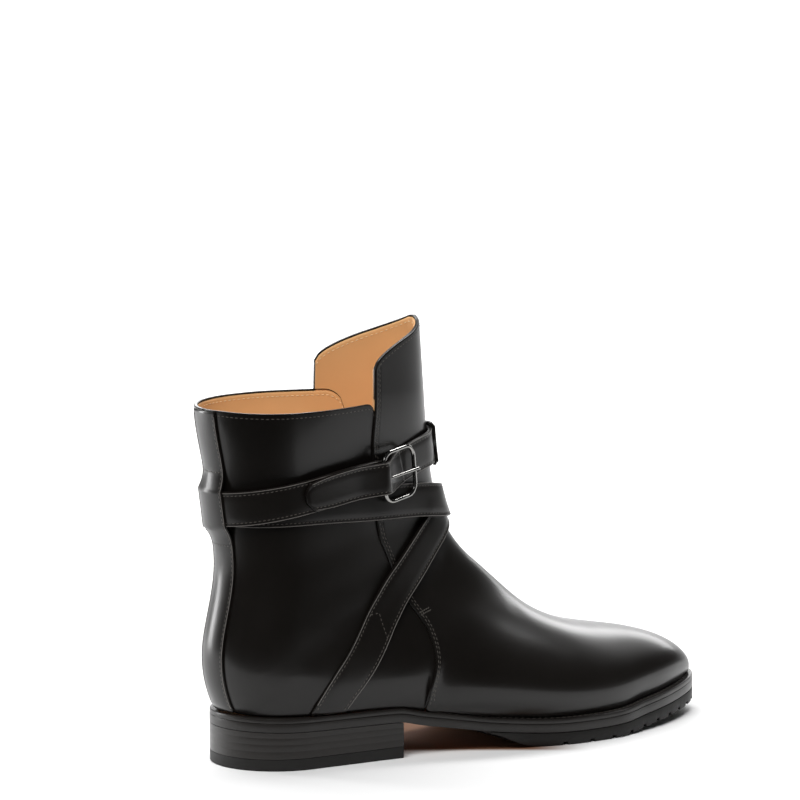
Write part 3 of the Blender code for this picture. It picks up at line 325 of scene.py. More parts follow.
def ring(u, dense=90):
    """Dense points of the ring at row number u, as (lateral half, medial half).

    Each half runs from the base to the front. With q the share of the way and w the widest
    share, the half width is W (1 - ((q - w) / (1 - w)) ** p) ** (1 / p) ahead of w; behind
    it the width rises in the same way from the base's own half width.
    """
    row = [float(natural(column(RINGS, i), u)) for i in range(10)]
    front_x = row[2] * FOOT_LENGTH
    front_z = max(row[3] * COLLAR_HEIGHT, float(welt_top(front_x)) + SEAT)
    if u >= FIRST_FOOT_ROW:
        rows = np.arange(FIRST_FOOT_ROW, len(RINGS))
        share = float(smooth(rows, column(RINGS, 0)[FIRST_FOOT_ROW:], u))
        lows = [feather_point(share, side) for side in (0, 1)]
        bases = [(float(x), float(y), float(welt_top(x)) + SEAT) for x, y in lows]
    else:
        heel_x = feather_point(0.0, 0)[0]
        xs = np.append(column(RINGS, 0)[:FIRST_FOOT_ROW] * FOOT_LENGTH, heel_x)
        zs = np.append(column(RINGS, 1)[:FIRST_FOOT_ROW] * COLLAR_HEIGHT,
                       float(welt_top(heel_x)) + SEAT)
        bases = [(float(natural(xs, u)), 0.0, float(natural(zs, u)))] * 2
    centre_low = 0.5 * (bases[0][1] + bases[1][1])
    climb = 1.0 + 1.4 * float(ease((u - 3.0) / 5.5) * (1.0 - ease((u - 10.0) / 6.0)))
    halves = []
    for side, base in enumerate(bases):
        low = abs(base[1] - centre_low)
        width = max(row[4 + side] * BALL_WIDTH, low / 0.985 + 0.05)
        wide, ahead_power, power = row[6:9]
        start = math.asin(min(low / width, 1.0) ** (0.5 * power))
        a = np.linspace(start, 0.5 * math.pi, dense)
        b = np.linspace(0.0, 0.5 * math.pi, dense)[1:]
        tau = 1.0 - np.abs(np.cos(a)) ** (2.0 / power)
        q = np.concatenate([wide * (tau - tau[0]) / (1.0 - tau[0]),
                            wide + (1.0 - wide) * np.sin(b) ** (2.0 / ahead_power)])
        g = np.concatenate([np.sin(a) ** (2.0 / power), np.abs(np.cos(b)) ** (2.0 / ahead_power)])
        g[-1] = 0.0
        lean = ease(q)
        y = centre_low * (1.0 - lean) + row[9] * BALL_WIDTH * lean
        y = y + (-1.0, 1.0)[side] * width * g
        x = base[0] + (front_x - base[0]) * q
        z = base[2] + (front_z - base[2]) * (1.0 - (1.0 - q) ** climb)
        halves.append(np.stack([x, y, z], 1))
    return halves


def run_shares(points):
    """Share of a polyline's length at each of its points, and that length."""
    run = run_of(points)
    return run / run[-1], run[-1]


def along(points, shares):
    """Points at the given shares of a polyline's length."""
    return read_run(run_shares(points)[0], points, shares)


def seam_share(half):
    """Share of a ring half at which it crosses the front piece's rear edge, or None."""
    ahead = half[:, 0] - looked_up(SEAM, 1, half[:, 2] / COLLAR_HEIGHT) * FOOT_LENGTH
    run = run_shares(half)[0]
    cross = np.nonzero((ahead[:-1] < 0.0) & (ahead[1:] >= 0.0))[0]
    if len(cross) == 0:
        return None
    i = cross[0]
    f = -ahead[i] / (ahead[i + 1] - ahead[i])
    return run[i] + f * (run[i + 1] - run[i])


def spaced(start, end, count):
    """Values from start to end, closer together at both ends."""
    t = 0.5 - 0.5 * np.cos(np.linspace(0.0, math.pi, count))
    return start + (end - start) * t


def strip_solid(xs, lateral, medial, low, high):
    """Verts and faces of a solid whose rows run straight across at each x."""
    verts = []
    for x, left, right, z0, z1 in zip(xs, lateral, medial, low, high):
        verts += [(x, left, z0), (x, right, z0), (x, right, z1), (x, left, z1)]
    faces = []
    last = 4 * (len(xs) - 1)
    for i in range(len(xs) - 1):
        a = 4 * i
        b = a + 4
        for k in range(4):
            m = (k + 1) % 4
            faces.append((a + k, b + k, b + m, a + m))
    faces.append((0, 1, 2, 3))
    faces.append((last, last + 3, last + 2, last + 1))
    return verts, faces


# strap paths: bearing around the ankle axis in degrees (0 front, -90 lateral, 90 medial,
# each turn going on), height as a share of collar height
ANKLE_AXIS = 0.233
BUCKLE_STRAP = (
    (-127.0, 0.172), (-114.0, 0.226), (-102.0, 0.272), (-77.0, 0.381), (-46.4, 0.487),
    (-26.5, 0.566), (-12.0, 0.636), (8.0, 0.694), (35.0, 0.722), (70.0, 0.730),
    (110.0, 0.731), (150.0, 0.728), (180.0, 0.726), (199.0, 0.736), (224.0, 0.765),
    (250.5, 0.784), (275.0, 0.790), (296.5, 0.794),
)
BUCKLE_STRAP_SPLIT = 7.5
FREE_STRAP = (
    (127.0, 0.172), (114.0, 0.226), (102.0, 0.272), (77.0, 0.381), (46.4, 0.487),
    (26.5, 0.570), (10.0, 0.645), (-8.0, 0.692), (-30.0, 0.714), (-80.0, 0.718),
    (-125.0, 0.724), (-155.0, 0.726), (-180.0, 0.728), (-210.0, 0.742), (-250.0, 0.775),
    (-290.0, 0.818), (-325.0, 0.852), (-358.0, 0.857), (-382.0, 0.836), (-400.0, 0.812),
    (-428.0, 0.793), (-469.5, 0.784), (-496.0, 0.765), (-503.5, 0.756),
)
FREE_STRAP_SPLIT = 18.9
FREE_STRAP_CLOSE = (17.6, 21.0, 2.8)
STRIP_TOP = 0.997
STRIP_FOOT = 0.158
TAB_TOP = 0.915
TAB_FOOT = 0.795
BUCKLE_BEARING = -50.0
BUCKLE_LEVEL = 0.796
BUCKLE_SLOPE = -8.0


def cast(skin, bearing, height):
    """Point and normal where a level line from the ankle axis leaves the upper."""
    a = math.radians(bearing)
    start = Vector((ANKLE_AXIS * FOOT_LENGTH, 0.02, height))
    ahead = Vector((math.cos(a), math.sin(a), 0.0))
    where, normal = skin.ray_cast(start + ahead * 400.0, -ahead)[:2]
    return np.array(where), np.array(normal)


def band_frame(skin, path, width, count, across, tip=0.0, close=None, level_foot=False):
    """Foot points and outward directions of a strap laid on the upper.

    Each station is a point P on the skin with the skin's smoothed normal N. Points across
    are the nearest skin points to P + C w, with C at right angles to the run and to N.
    Between the two path rows in close the stations lie closer by the factor in close.
    With level_foot the first stations are skewed so that the strap ends level on the welt.
    """
    table = np.array(path, float)
    t = np.linspace(0.0, len(table) - 1.0, 500)
    if level_foot:
        spot = cast(skin, table[0, 0], table[0, 1] * COLLAR_HEIGHT)[0]
        table[0, 1] = (float(welt_top(spot[0])) + 4.0 * SEAT) / COLLAR_HEIGHT
    bearing = natural(table[:, 0], t)
    height = natural(table[:, 1], t) * COLLAR_HEIGHT
    pts = np.array([cast(skin, b, h)[0] for b, h in zip(bearing, height)])
    for turn in range(14):
        pts[1:-1] = 0.25 * (pts[:-2] + pts[2:]) + 0.5 * pts[1:-1]
    run, total = run_shares(pts)
    weight = np.ones(len(t) - 1)
    if close is not None:
        weight[(t[1:] > close[0]) & (t[1:] < close[1])] = close[2]
    filled = np.concatenate([[0.0], np.cumsum(np.diff(run) * weight)])
    shares = np.interp(np.linspace(0.0, 1.0, count), filled / filled[-1], run)
    centre = read_run(run, pts, shares)
    ahead = unit(np.gradient(centre, axis=0))
    normals = np.array([np.array(skin.find_nearest(Vector(p))[1]) for p in centre])
    for turn in range(6):
        normals = unit(averaged(normals))
    side = unit(np.cross(normals, ahead))
    near = np.clip(1.0 - (1.0 - shares) * total / tip, 0.0, 1.0) if tip > 0.0 else np.zeros(count)
    scale = np.maximum(np.sqrt(1.0 - near ** 2), 0.30)
    reach = np.linspace(-0.5, 0.5, across)[None] * width * scale[:, None]
    slide = np.zeros(reach.shape)
    if level_foot:
        fade = np.maximum(0.0, 1.0 - np.arange(count) / 5.0)
        slide = (-side[:, 2] / np.maximum(ahead[:, 2], 0.3) * fade)[:, None] * reach
    probes = (centre[:, None] + side[:, None] * reach[:, :, None]
              + ahead[:, None] * slide[:, :, None])
    found = [[skin.find_nearest(Vector(p))[:2] for p in row] for row in probes]
    foot = np.array([[tuple(spot) for spot, normal in row] for row in found])
    out = np.array([[tuple(normal) for spot, normal in row] for row in found])
    for turn in range(4):
        out = unit(averaged(averaged(out), 1))
    return foot, out, np.interp(shares, run, t)


def spread(values, reach):
    """Largest value within reach stations along, and one column across."""
    padded = np.pad(values, ((reach, reach), (1, 1)), mode="edge")
    n, m = values.shape
    best = np.full(values.shape, -1e9)
    for a in range(2 * reach + 1):
        for b in range(3):
            best = np.maximum(best, padded[a:a + n, b:b + m])
    return best


def band_mesh(foot, out, lift, thick):
    """Verts and faces of a strap whose inner face stands off its foot points by the lift."""
    count, across = foot.shape[:2]
    low = foot + out * (lift + SEAT)[:, :, None]
    high = foot + out * (lift + SEAT + thick)[:, :, None]
    verts = np.concatenate([low.reshape(-1, 3), high.reshape(-1, 3)])
    size = count * across
    faces = []
    for i in range(count - 1):
        for j in range(across - 1):
            a = i * across + j
            faces.append((a, a + across, a + across + 1, a + 1))
            faces.append((size + a, size + a + 1, size + a + across + 1, size + a + across))
        for j in (0, across - 1):
            a = i * across + j
            faces.append((a, size + a, size + a + across, a + across))
    for i in (0, count - 1):
        for j in range(across - 1):
            a = i * across + j
            faces.append((a, a + 1, size + a + 1, size + a))
    return verts, faces


def tree(verts, faces):
    """Search tree of a body in millimetres."""
    return BVHTree.FromPolygons([tuple(v) for v in verts],
                                [tuple(int(k) for k in face) for face in faces])


def part_tree(foot, out, lift, thick, keep):
    """Search tree of the stations of a strap that are kept."""
    verts, faces = band_mesh(foot[keep], out[keep], lift[keep], thick)
    return tree(verts, faces)


def tube(path, radius, sides, closed):
    """Verts and faces of a round wire along a path."""
    pts = np.asarray(path, float)
    n = len(pts)
    ahead = np.roll(pts, -1, 0) - np.roll(pts, 1, 0) if closed else np.gradient(pts, axis=0)
    ahead = unit(ahead)
    guide = unit(np.cross(ahead[0], ahead[n // 3] + np.array([0.013, 0.017, 0.011])))
    verts = []
    for p, d in zip(pts, ahead):
        one = unit(guide - d * float(guide @ d))
        two = np.cross(d, one)
        for k in range(sides):
            a = 2.0 * math.pi * k / sides
            verts.append(p + radius * (math.cos(a) * one + math.sin(a) * two))
    faces = bands(n, sides)
    if closed:
        ends = [(k, (n - 1) * sides + k) for k in range(sides)]
        faces += [(a, b, d, c) for (a, b), (c, d) in zip(ends, ends[1:] + ends[:1])]
    else:
        faces.append(tuple(range(sides)))
        faces.append(tuple((n - 1) * sides + k for k in range(sides))[::-1])
    return np.array(verts), faces


def buckle_place(skin):
    """Centre on the skin, direction along the strap, direction across it and outward."""
    where, normal = cast(skin, BUCKLE_BEARING, BUCKLE_LEVEL * COLLAR_HEIGHT)
    level = np.cross(np.array([0.0, 0.0, 1.0]), normal)
    level /= np.linalg.norm(level)
    up = np.cross(normal, level)
    a = math.radians(-BUCKLE_SLOPE)
    along_dir = math.cos(a) * level + math.sin(a) * up
    across_dir = np.cross(normal, along_dir)
    return where, along_dir, across_dir, normal


def buckle_frame(place, rear_height, front_height, sides, steps):
    """Rounded rectangle of wire, its rear bar higher than its front bar."""
    centre, one, two, out = place
    a = 0.5 * (BUCKLE_LENGTH - BUCKLE_WIRE)
    b = 0.5 * (BUCKLE_HEIGHT - BUCKLE_WIRE)
    r = 0.36 * a + 2.0
    path = []
    for cx, cy, start in ((a - r, b - r, 0.0), (r - a, b - r, 90.0), (r - a, r - b, 180.0),
                          (a - r, r - b, 270.0)):
        for k in range(steps + 1):
            t = math.radians(start + 90.0 / steps * k)
            x = cx + r * math.cos(t)
            y = cy + r * math.sin(t)
            h = rear_height + (front_height - rear_height) * (x + a) / (2.0 * a)
            path.append(centre + one * x + two * y + out * h)
    return tube(path, 0.5 * BUCKLE_WIRE, sides, True)


def place(points):
    """Points in metres in the frame's own place."""
    return (np.asarray(points, float) + ORIGIN) * MM


def add_piece(name, verts, faces, material, slot_name, nodes=(), close=False):
    """Smooth-shaded piece from points in millimetres that rides on the frame's one body."""
    mesh = bpy.data.meshes.new(name)
    mesh.from_pydata(place(verts).tolist(), [], [tuple(int(k) for k in f) for f in faces])
    mesh.update()
    if close:
        work = bmesh.new()
        work.from_mesh(mesh)
        bmesh.ops.remove_doubles(work, verts=work.verts, dist=2e-6)
        bmesh.ops.dissolve_degenerate(work, edges=work.edges, dist=1e-7)
        bmesh.ops.recalc_face_normals(work, faces=work.faces)
        work.to_mesh(mesh)
        work.free()
    mesh.polygons.foreach_set("use_smooth", [True] * len(mesh.polygons))
    mesh.materials.append(material)
    body = bpy.data.objects.new(name, mesh)
    bpy.context.scene.collection.objects.link(body)
    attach(body, "root")
    if nodes:
        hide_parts(*nodes)
    return body


def sharpen(body, degrees):
    """Keep edges steeper than the angle crisp."""
    body.data.set_sharp_from_angle(angle=math.radians(degrees))


def bands(rows, count):
    """Quads between stacked closed loops of count points each."""
    k = np.arange(rows - 1)[:, None] * count + np.arange(count)
    m = np.roll(k, -1, 1)
    return [tuple(f) for f in np.stack([k, m, m + count, k + count], 2).reshape(-1, 4).tolist()]


def across_caps(pairs, starts):
    """Flat end faces of stacked loops: quads between opposite pairs of points."""
    faces = []
    for start in starts:
        for (a, b), (c, d) in zip(pairs, pairs[1:]):
            faces.append(tuple(dict.fromkeys((start + a, start + c, start + d, start + b))))
    return faces


def grid_faces(rows, cols, start=0, flip=False):
    """Quads of a grid of points numbered along its rows."""
    i, j = np.meshgrid(np.arange(rows - 1), np.arange(cols - 1), indexing="ij")
    a = (start + i * cols + j).ravel()
    quads = np.stack([a, a + cols, a + cols + 1, a + 1], 1)
    return quads[:, ::-1] if flip else quads


def normals_of(grid):
    """Unit normals of a grid: cross product of the steps down and along, smoothed twice."""
    normal = np.cross(np.gradient(grid, axis=0), np.gradient(grid, axis=1))
    size = np.linalg.norm(normal, axis=2)
    size[size < 1e-6] = 1.0
    normal = normal / size[:, :, None]
    for turn in range(2):
        normal = unit(averaged(averaged(normal), 1))
    return normal


EDGE_STEPS = np.array([0.0, 0.04, 0.16, 0.36, 0.62, 0.95, 1.35, 1.8, 2.25, 2.8, 3.3, 3.8, 4.6])
TOP_STEPS = np.array([0.0, 0.04, 0.16, 0.36, 0.62, 1.0, 1.6, 2.4, 3.2, 4.2, 5.4])
CORNERS = (5.0, 11.0)
OPEN_FROM = 138.0
OPEN_TO = 190.0
OPEN_SHARE = 0.27
SEAM_BACK = (3.4, 7.0)
FRONT_OUT = 2.4
BACK_OUT = 2.2
RIM_DIP = 1.2
RIM_RISE = 2.6
TOP_END = 1.5
TUCKS = (6.0, 16.0)
QUARTER_COUNT = 64
# value of the distance to a top edge away from the top zone
FAR = 1e3
# stitch rows beside the rear edge and below the top edges, in millimetres from the edge, and
# row numbers of the short rows across the rear edge
SEAM_ROWS = (1.8, 3.3)
RIM_ROW = 2.6
TACK_ROWS = (8.80, 8.88)


def seam_end(side):
    """Row number at which the front piece's rear edge reaches the feather line."""
    low, high = 8.2, 13.0
    for turn in range(24):
        middle = 0.5 * (low + high)
        base = ring(middle, 8)[side][0]
        if base[0] < float(looked_up(SEAM, 1, base[2] / COLLAR_HEIGHT)) * FOOT_LENGTH:
            low = middle
        else:
            high = middle
    return 0.5 * (low + high)


def low_rows(end=None):
    """Row numbers below the top zone, closest around the heel."""
    rows = np.concatenate([
        np.linspace(TOP_END, 8.0, 84)[1:], np.linspace(8.0, 9.0, 26)[1:],
        np.linspace(9.0, 11.0, 28)[1:], np.linspace(11.0, 22.0, 104)[1:]])
    return rows if end is None else np.append(rows[rows < end - 0.01], end)


RING_STORE = {}


def opened(half, side):
    """The shaft's top standing open: its width grows by a share that eases in with the
    height, the zone of the seam moves back, and its back and front stand out a little."""
    moved = half.copy()
    x, z = half[:, 0], half[:, 2]
    grow = ease((z - OPEN_FROM) / (OPEN_TO - OPEN_FROM))
    moved[:, 1] *= 1.0 + OPEN_SHARE * grow
    moved[:, 0] -= SEAM_BACK[side] * grow * np.exp(-((x - 80.0) / 30.0) ** 2)
    moved[:, 0] -= BACK_OUT * ease((z - 150.0) / 36.0) * ease((26.0 - x) / 28.0)
    moved[:, 0] += FRONT_OUT * grow * ease((x - 88.0) / 26.0)
    return moved


def stored_ring(u):
    """Ring halves at row u, with the share of each at the front piece's rear edge."""
    key = round(float(u), 6)
    if key not in RING_STORE:
        wide = []
        shares = []
        for side, half in enumerate(ring(key)):
            found = seam_share(half)
            moved = opened(half, side)
            if found is not None:
                found = float(np.interp(found, run_shares(half)[0], run_shares(moved)[0]))
            shares.append(found or 0.0)
            wide.append(moved)
        RING_STORE[key] = (wide, shares)
    return RING_STORE[key]


def quarter_columns(half, seam, tuck):
    """Points of a ring half from the back to a little under the front piece, and their
    distance from the last one."""
    total = run_shares(half)[1]
    last = min(seam + tuck / total * min(1.0, 6.0 * seam), 1.0)
    shares = np.linspace(0.0, last, QUARTER_COUNT)
    return along(half, shares), (last - shares) * total


def evened(grid, numbers, free):
    """Grid with its rows drawn even where the rings bend around the heel and the ball.

    Again and again each row there moves towards the average of its neighbours, by half of
    the rest times a weight. The weight eases in with the row number, fades out before the
    last rows and is times free, which is 0 at the seam.
    """
    count = len(numbers)
    weight = np.clip((numbers - 7.0) / 0.6, 0.0, 1.0) * np.clip((21.0 - numbers) / 2.0, 0.0, 1.0)
    weight *= np.clip((count - 1 - np.arange(count)) / 6.0, 0.0, 1.0)
    weight = (ease(weight)[:, None] * free)[1:-1, :, None]
    for turn in range(60):
        mean = 0.5 * (grid[:-2] + grid[2:])
        grid[1:-1] += 0.5 * weight * (mean - grid[1:-1])
    return grid


def front_columns(half, seam):
    """Points of a ring half from the front piece's rear edge to the front, and their
    distance from that edge."""
    total = run_shares(half)[1]
    room = (1.0 - seam) * total
    near = EDGE_STEPS * min(1.0, room / 14.0)
    rest = near[-1] + (room - near[-1]) * np.linspace(0.0, 1.0, 64)[1:] ** 1.15
    steps = np.concatenate([near, rest])
    return along(half, np.minimum(seam + steps / total, 1.0)), steps


def at_levels(stack, levels):
    """Points of each column of a stack of rows at the given heights, row by row."""
    columns = [read_run(line[:, 2], line, level)
               for line, level in zip(stack[::-1].transpose(1, 0, 2), levels.T)]
    return np.stack(columns, 1)


def top_levels(crest, end, count):
    """Heights of the rows of the top zone: fixed steps below the crest, then even shares of
    the rest down to the zone's end."""
    levels = [crest - step for step in TOP_STEPS]
    for f in np.linspace(0.0, 1.0, count)[1:]:
        levels.append((crest - TOP_STEPS[-1]) * (1.0 - f) + end * f)
    return np.array(levels)


def front_grid():
    """Base points of the front piece with distance from its edges: rows down the front,
    columns from the lateral edge over the crest to the medial edge."""
    def row_of(u):
        halves, shares = stored_ring(u)
        left, near = front_columns(halves[0], shares[0])
        right, far = front_columns(halves[1], shares[1])
        return np.concatenate([left, right[-2::-1]]), np.concatenate([near, far[-2::-1]])

    top = np.array([row_of(u)[0] for u in np.linspace(0.0, TOP_END, 40)])
    edge = row_of(1.0)[1]
    rise = looked_up(TONGUE_EDGE, 1, np.clip(1.0 - edge / edge[len(edge) // 2], 0.0, 1.0))
    crest = COLLAR_HEIGHT + TONGUE_RISE * rise
    levels = top_levels(crest, top[-1, :, 2], 44)
    low_u = low_rows()
    low = [row_of(u) for u in low_u]
    grid = np.concatenate([at_levels(top, levels), [points for points, away in low]])
    side = np.concatenate([np.repeat(edge[None], len(levels), 0), [away for points, away in low]])
    down = np.concatenate([crest - levels, np.full((len(low), len(edge)), FAR)])
    numbers = np.concatenate([np.ones(len(levels)), low_u])
    return evened(grid, numbers, ease(side / 14.0)), side, down, numbers


def quarter_grid(side):
    """Base points of one quarter: rows from the collar down, columns from the back to a
    little under the front piece. Its top corner is rounded."""
    def row_of(u):
        halves, shares = stored_ring(u)
        share = float(ease((float(halves[side][:, 2].mean()) - 110.0) / 40.0))
        tuck = TUCKS[0] + (TUCKS[side] - TUCKS[0]) * share
        return quarter_columns(halves[side], shares[side], tuck)

    top = np.array([row_of(u)[0] for u in np.linspace(0.0, TOP_END, 40)])
    to_edge = row_of(1.0)[1] - (TUCKS[0] if side == 0 else 0.0)
    corner = CORNERS[side]
    near = np.clip(corner - to_edge, 0.0, corner)
    back = to_edge / to_edge[0]
    if side == 0:
        rim = -RIM_DIP * np.sin(math.pi * np.clip(1.15 * back, 0.0, 1.0))
    else:
        rim = RIM_RISE * ease(1.5 * (1.0 - back))
    crest = COLLAR_HEIGHT + rim - (corner - np.sqrt(corner ** 2 - near ** 2))
    levels = top_levels(crest, top[-1, :, 2], 14)
    low_u = low_rows(seam_end(side))
    low = np.array([row_of(u)[0] for u in low_u])
    down = np.concatenate([crest - levels, np.full(low.shape[:2], FAR)])
    numbers = np.concatenate([np.ones(len(levels)), low_u])
    free = ease((QUARTER_COUNT - 1.0 - np.arange(QUARTER_COUNT)) / 14.0)[None]
    return evened(np.concatenate([at_levels(top, levels), low]), numbers, free), down


def rounded(distance, half_wall):
    """Share of a wall's half thickness at a distance from its rounded edge."""
    t = np.clip(distance / half_wall, 0.0, 1.0)
    return np.sqrt(np.clip(1.0 - (1.0 - t) ** 2, 0.0, 1.0))


CREASES = (
    # start, end, half width, height
    ((168.0, -30.0, 66.0), (176.0, 26.0, 70.0), 5.0, -0.17),
    ((186.0, -40.0, 46.0), (196.0, 34.0, 56.0), 6.5, -0.15),
    ((205.0, -44.0, 36.0), (214.0, 40.0, 44.0), 7.0, -0.14),
    ((128.0, -22.0, 98.0), (132.0, 20.0, 100.0), 4.5, -0.35),
    ((60.0, -40.0, 92.0), (104.0, -34.0, 98.0), 6.0, -0.40),
    ((60.0, 40.0, 92.0), (104.0, 34.0, 98.0), 6.0, -0.40),
    ((40.0, -34.0, 72.0), (88.0, -40.0, 64.0), 7.0, 0.35),
    ((40.0, 34.0, 72.0), (88.0, 40.0, 64.0), 7.0, 0.35),
    ((20.0, -28.0, 104.0), (66.0, -32.0, 112.0), 8.0, -0.30),
    ((20.0, 28.0, 104.0), (66.0, 32.0, 112.0), 8.0, -0.30),
)


def worn_form(points):
    """Height of the soft creases at points: each is a bell across its own straight line."""
    flat = points.reshape(-1, 3)
    height = np.zeros(len(flat))
    for start, end, wide, rise in CREASES:
        a = np.array(start)
        line = np.array(end) - a
        t = (flat - a) @ line / float(line @ line)
        away = np.linalg.norm(flat - (a + np.clip(t, 0.0, 1.0)[:, None] * line), axis=1)
        fade = ease(np.minimum(t, 1.0 - t) * 3.0 + 0.4)
        height += rise * np.exp(-(away / wide) ** 2) * fade
    x, y, z = flat[:, 0], flat[:, 1], flat[:, 2]
    height += 0.10 * np.sin(x / 13.0 + 1.3 * np.sin(z / 17.0)) * np.sin(z / 15.0 + y / 21.0)
    return height.reshape(points.shape[:2])


def shell(grid, outer, inner):
    """Verts and faces of a closed wall between two offsets of a grid along its normals."""
    normal = normals_of(grid)
    high = grid + normal * outer[:, :, None]
    low = grid + normal * inner[:, :, None]
    floor = welt_top(grid[:, :, 0]) + 0.05
    high[:, :, 2] = np.maximum(high[:, :, 2], floor)
    low[:, :, 2] = np.maximum(low[:, :, 2], floor)
    rows, cols = grid.shape[:2]
    size = rows * cols
    verts = np.concatenate([high.reshape(-1, 3), low.reshape(-1, 3)])
    faces = [grid_faces(rows, cols), grid_faces(rows, cols, size, True)]
    index = np.arange(size).reshape(rows, cols)
    rim = np.concatenate([index[0, :], index[1:, -1], index[-1, -2::-1], index[-2:0:-1, 0]])
    turn = np.roll(rim, -1)
    faces.append(np.stack([rim, turn, turn + size, rim + size], 1))
    return verts, np.concatenate(faces), high, normal


def stitches(path, normal, spacing, length, wide, lift, slant=0.0):
    """Small raised thread ends along a path: each is a spindle with six sides."""
    path = np.asarray(path, float)
    run = run_of(path)
    count = max(int(run[-1] / spacing), 1)
    spots = (np.arange(count) + 0.5) * run[-1] / count
    centre = read_run(run, path, spots)
    out = unit(read_run(run, np.asarray(normal, float), spots))
    ahead = read_run(run, path, spots + 0.4) - read_run(run, path, spots - 0.4)
    ahead = unit(ahead - out * np.sum(ahead * out, axis=1)[:, None])
    side = np.cross(out, ahead)
    ahead = ahead + side * slant
    shape = []
    for t, r in ((-0.5, 0.0), (-0.38, 0.75), (0.0, 1.0), (0.38, 0.75), (0.5, 0.0)):
        sink = -3.6 * abs(t) ** 3 * wide
        for k in range(6 if r > 0.0 else 1):
            a = math.pi * k / 3.0
            reach = 0.5 * wide * r
            shape.append((t * length, reach * math.cos(a), reach * math.sin(a) + sink))
    shape = np.array(shape)[None]
    verts = (centre[:, None] + ahead[:, None] * shape[:, :, :1] + side[:, None] * shape[:, :, 1:2]
             + out[:, None] * (shape[:, :, 2:] + lift))
    faces = []
    for k in range(6):
        m = (k + 1) % 6
        faces += [(0, 1 + m, 1 + k), (13 + k, 13 + m, 19)]
        for a in (1, 7):
            faces += [(a + k, a + m, a + 6 + m), (a + k, a + 6 + m, a + 6 + k)]
    starts = np.arange(count)[:, None, None] * shape.shape[1]
    return verts.reshape(-1, 3), (np.array(faces)[None] + starts).reshape(-1, 3)


def joined(parts):
    """One set of verts and faces from several."""
    verts = []
    faces = []
    start = 0
    for v, f in parts:
        verts.append(np.asarray(v, float))
        faces += [tuple(int(k) + start for k in face) for face in f]
        start += len(v)
    return np.concatenate(verts), faces


def tone(rgb):
    """Colour with alpha."""
    return (rgb[0], rgb[1], rgb[2], 1.0)


def linked(tree, kind, feeds=(), values=()):
    """New shader node with the outputs that feed its inputs and its fixed input values."""
    made = tree.nodes.new(kind)
    for key, socket in feeds:
        tree.links.new(socket, made.inputs[key])
    for key, value in values:
        made.inputs[key].default_value = value
    return made


def grain_group():
    """Fine pores and soft unevenness of finished leather, as one height and one mask."""
    group = bpy.data.node_groups.new("leather_grain", "ShaderNodeTree")
    for name, way in (("Pore Scale", "INPUT"), ("Cloud Scale", "INPUT"), ("Height", "OUTPUT"),
                      ("Cloud", "OUTPUT")):
        group.interface.new_socket(name, in_out=way, socket_type="NodeSocketFloat")
    given = group.nodes.new("NodeGroupInput")
    spot = group.nodes.new("ShaderNodeTexCoord").outputs["Object"]
    pore = linked(group, "ShaderNodeTexVoronoi",
                  (("Vector", spot), ("Scale", given.outputs["Pore Scale"])))
    pore.feature = "SMOOTH_F1"
    double = linked(group, "ShaderNodeMath", ((0, given.outputs["Pore Scale"]),), ((1, 0.45),))
    double.operation = "MULTIPLY"
    fine = linked(group, "ShaderNodeTexNoise", (("Vector", spot), ("Scale", double.outputs[0])),
                  (("Detail", 6.0), ("Roughness", 0.62)))
    cloud = linked(group, "ShaderNodeTexNoise",
                   (("Vector", spot), ("Scale", given.outputs["Cloud Scale"])), (("Detail", 4.0),))
    mix = linked(group, "ShaderNodeMath",
                 ((0, pore.outputs["Distance"]), (1, fine.outputs["Fac"])))
    mix.operation = "ADD"
    linked(group, "NodeGroupOutput",
           (("Height", mix.outputs[0]), ("Cloud", cloud.outputs["Fac"])))
    return group


GRAIN = grain_group()


def leather(name, dark, light, rough, bump, pore=2600.0, cloud=24.0, coat=0.0, coat_rough=0.1,
            depth=0.00005):
    """Finished leather: colour and gloss drift with the clouds, pores are in the bump."""
    made = bpy.data.materials.new(name)
    made.use_nodes = True
    made_of = made.node_tree
    shade = made_of.nodes["Principled BSDF"]
    grain = made_of.nodes.new("ShaderNodeGroup")
    grain.node_tree = GRAIN
    grain.inputs["Pore Scale"].default_value = pore
    grain.inputs["Cloud Scale"].default_value = cloud
    mask = grain.outputs["Cloud"]
    colour = made_of.nodes.new("ShaderNodeMix")
    colour.data_type = "RGBA"
    colour.inputs[6].default_value = tone(dark)
    colour.inputs[7].default_value = tone(light)
    made_of.links.new(mask, colour.inputs[0])
    made_of.links.new(colour.outputs[2], shade.inputs["Base Color"])
    gloss = linked(made_of, "ShaderNodeMapRange", (("Value", mask),), (
        ("From Min", 0.3), ("From Max", 0.7), ("To Min", rough[0]), ("To Max", rough[1])))
    made_of.links.new(gloss.outputs[0], shade.inputs["Roughness"])
    relief = linked(made_of, "ShaderNodeBump", (("Height", grain.outputs["Height"]),),
                    (("Strength", bump), ("Distance", depth)))
    made_of.links.new(relief.outputs["Normal"], shade.inputs["Normal"])
    shade.inputs["Specular IOR Level"].default_value = 0.30
    shade.inputs["Coat Weight"].default_value = coat
    shade.inputs["Coat Roughness"].default_value = coat_rough
    return made


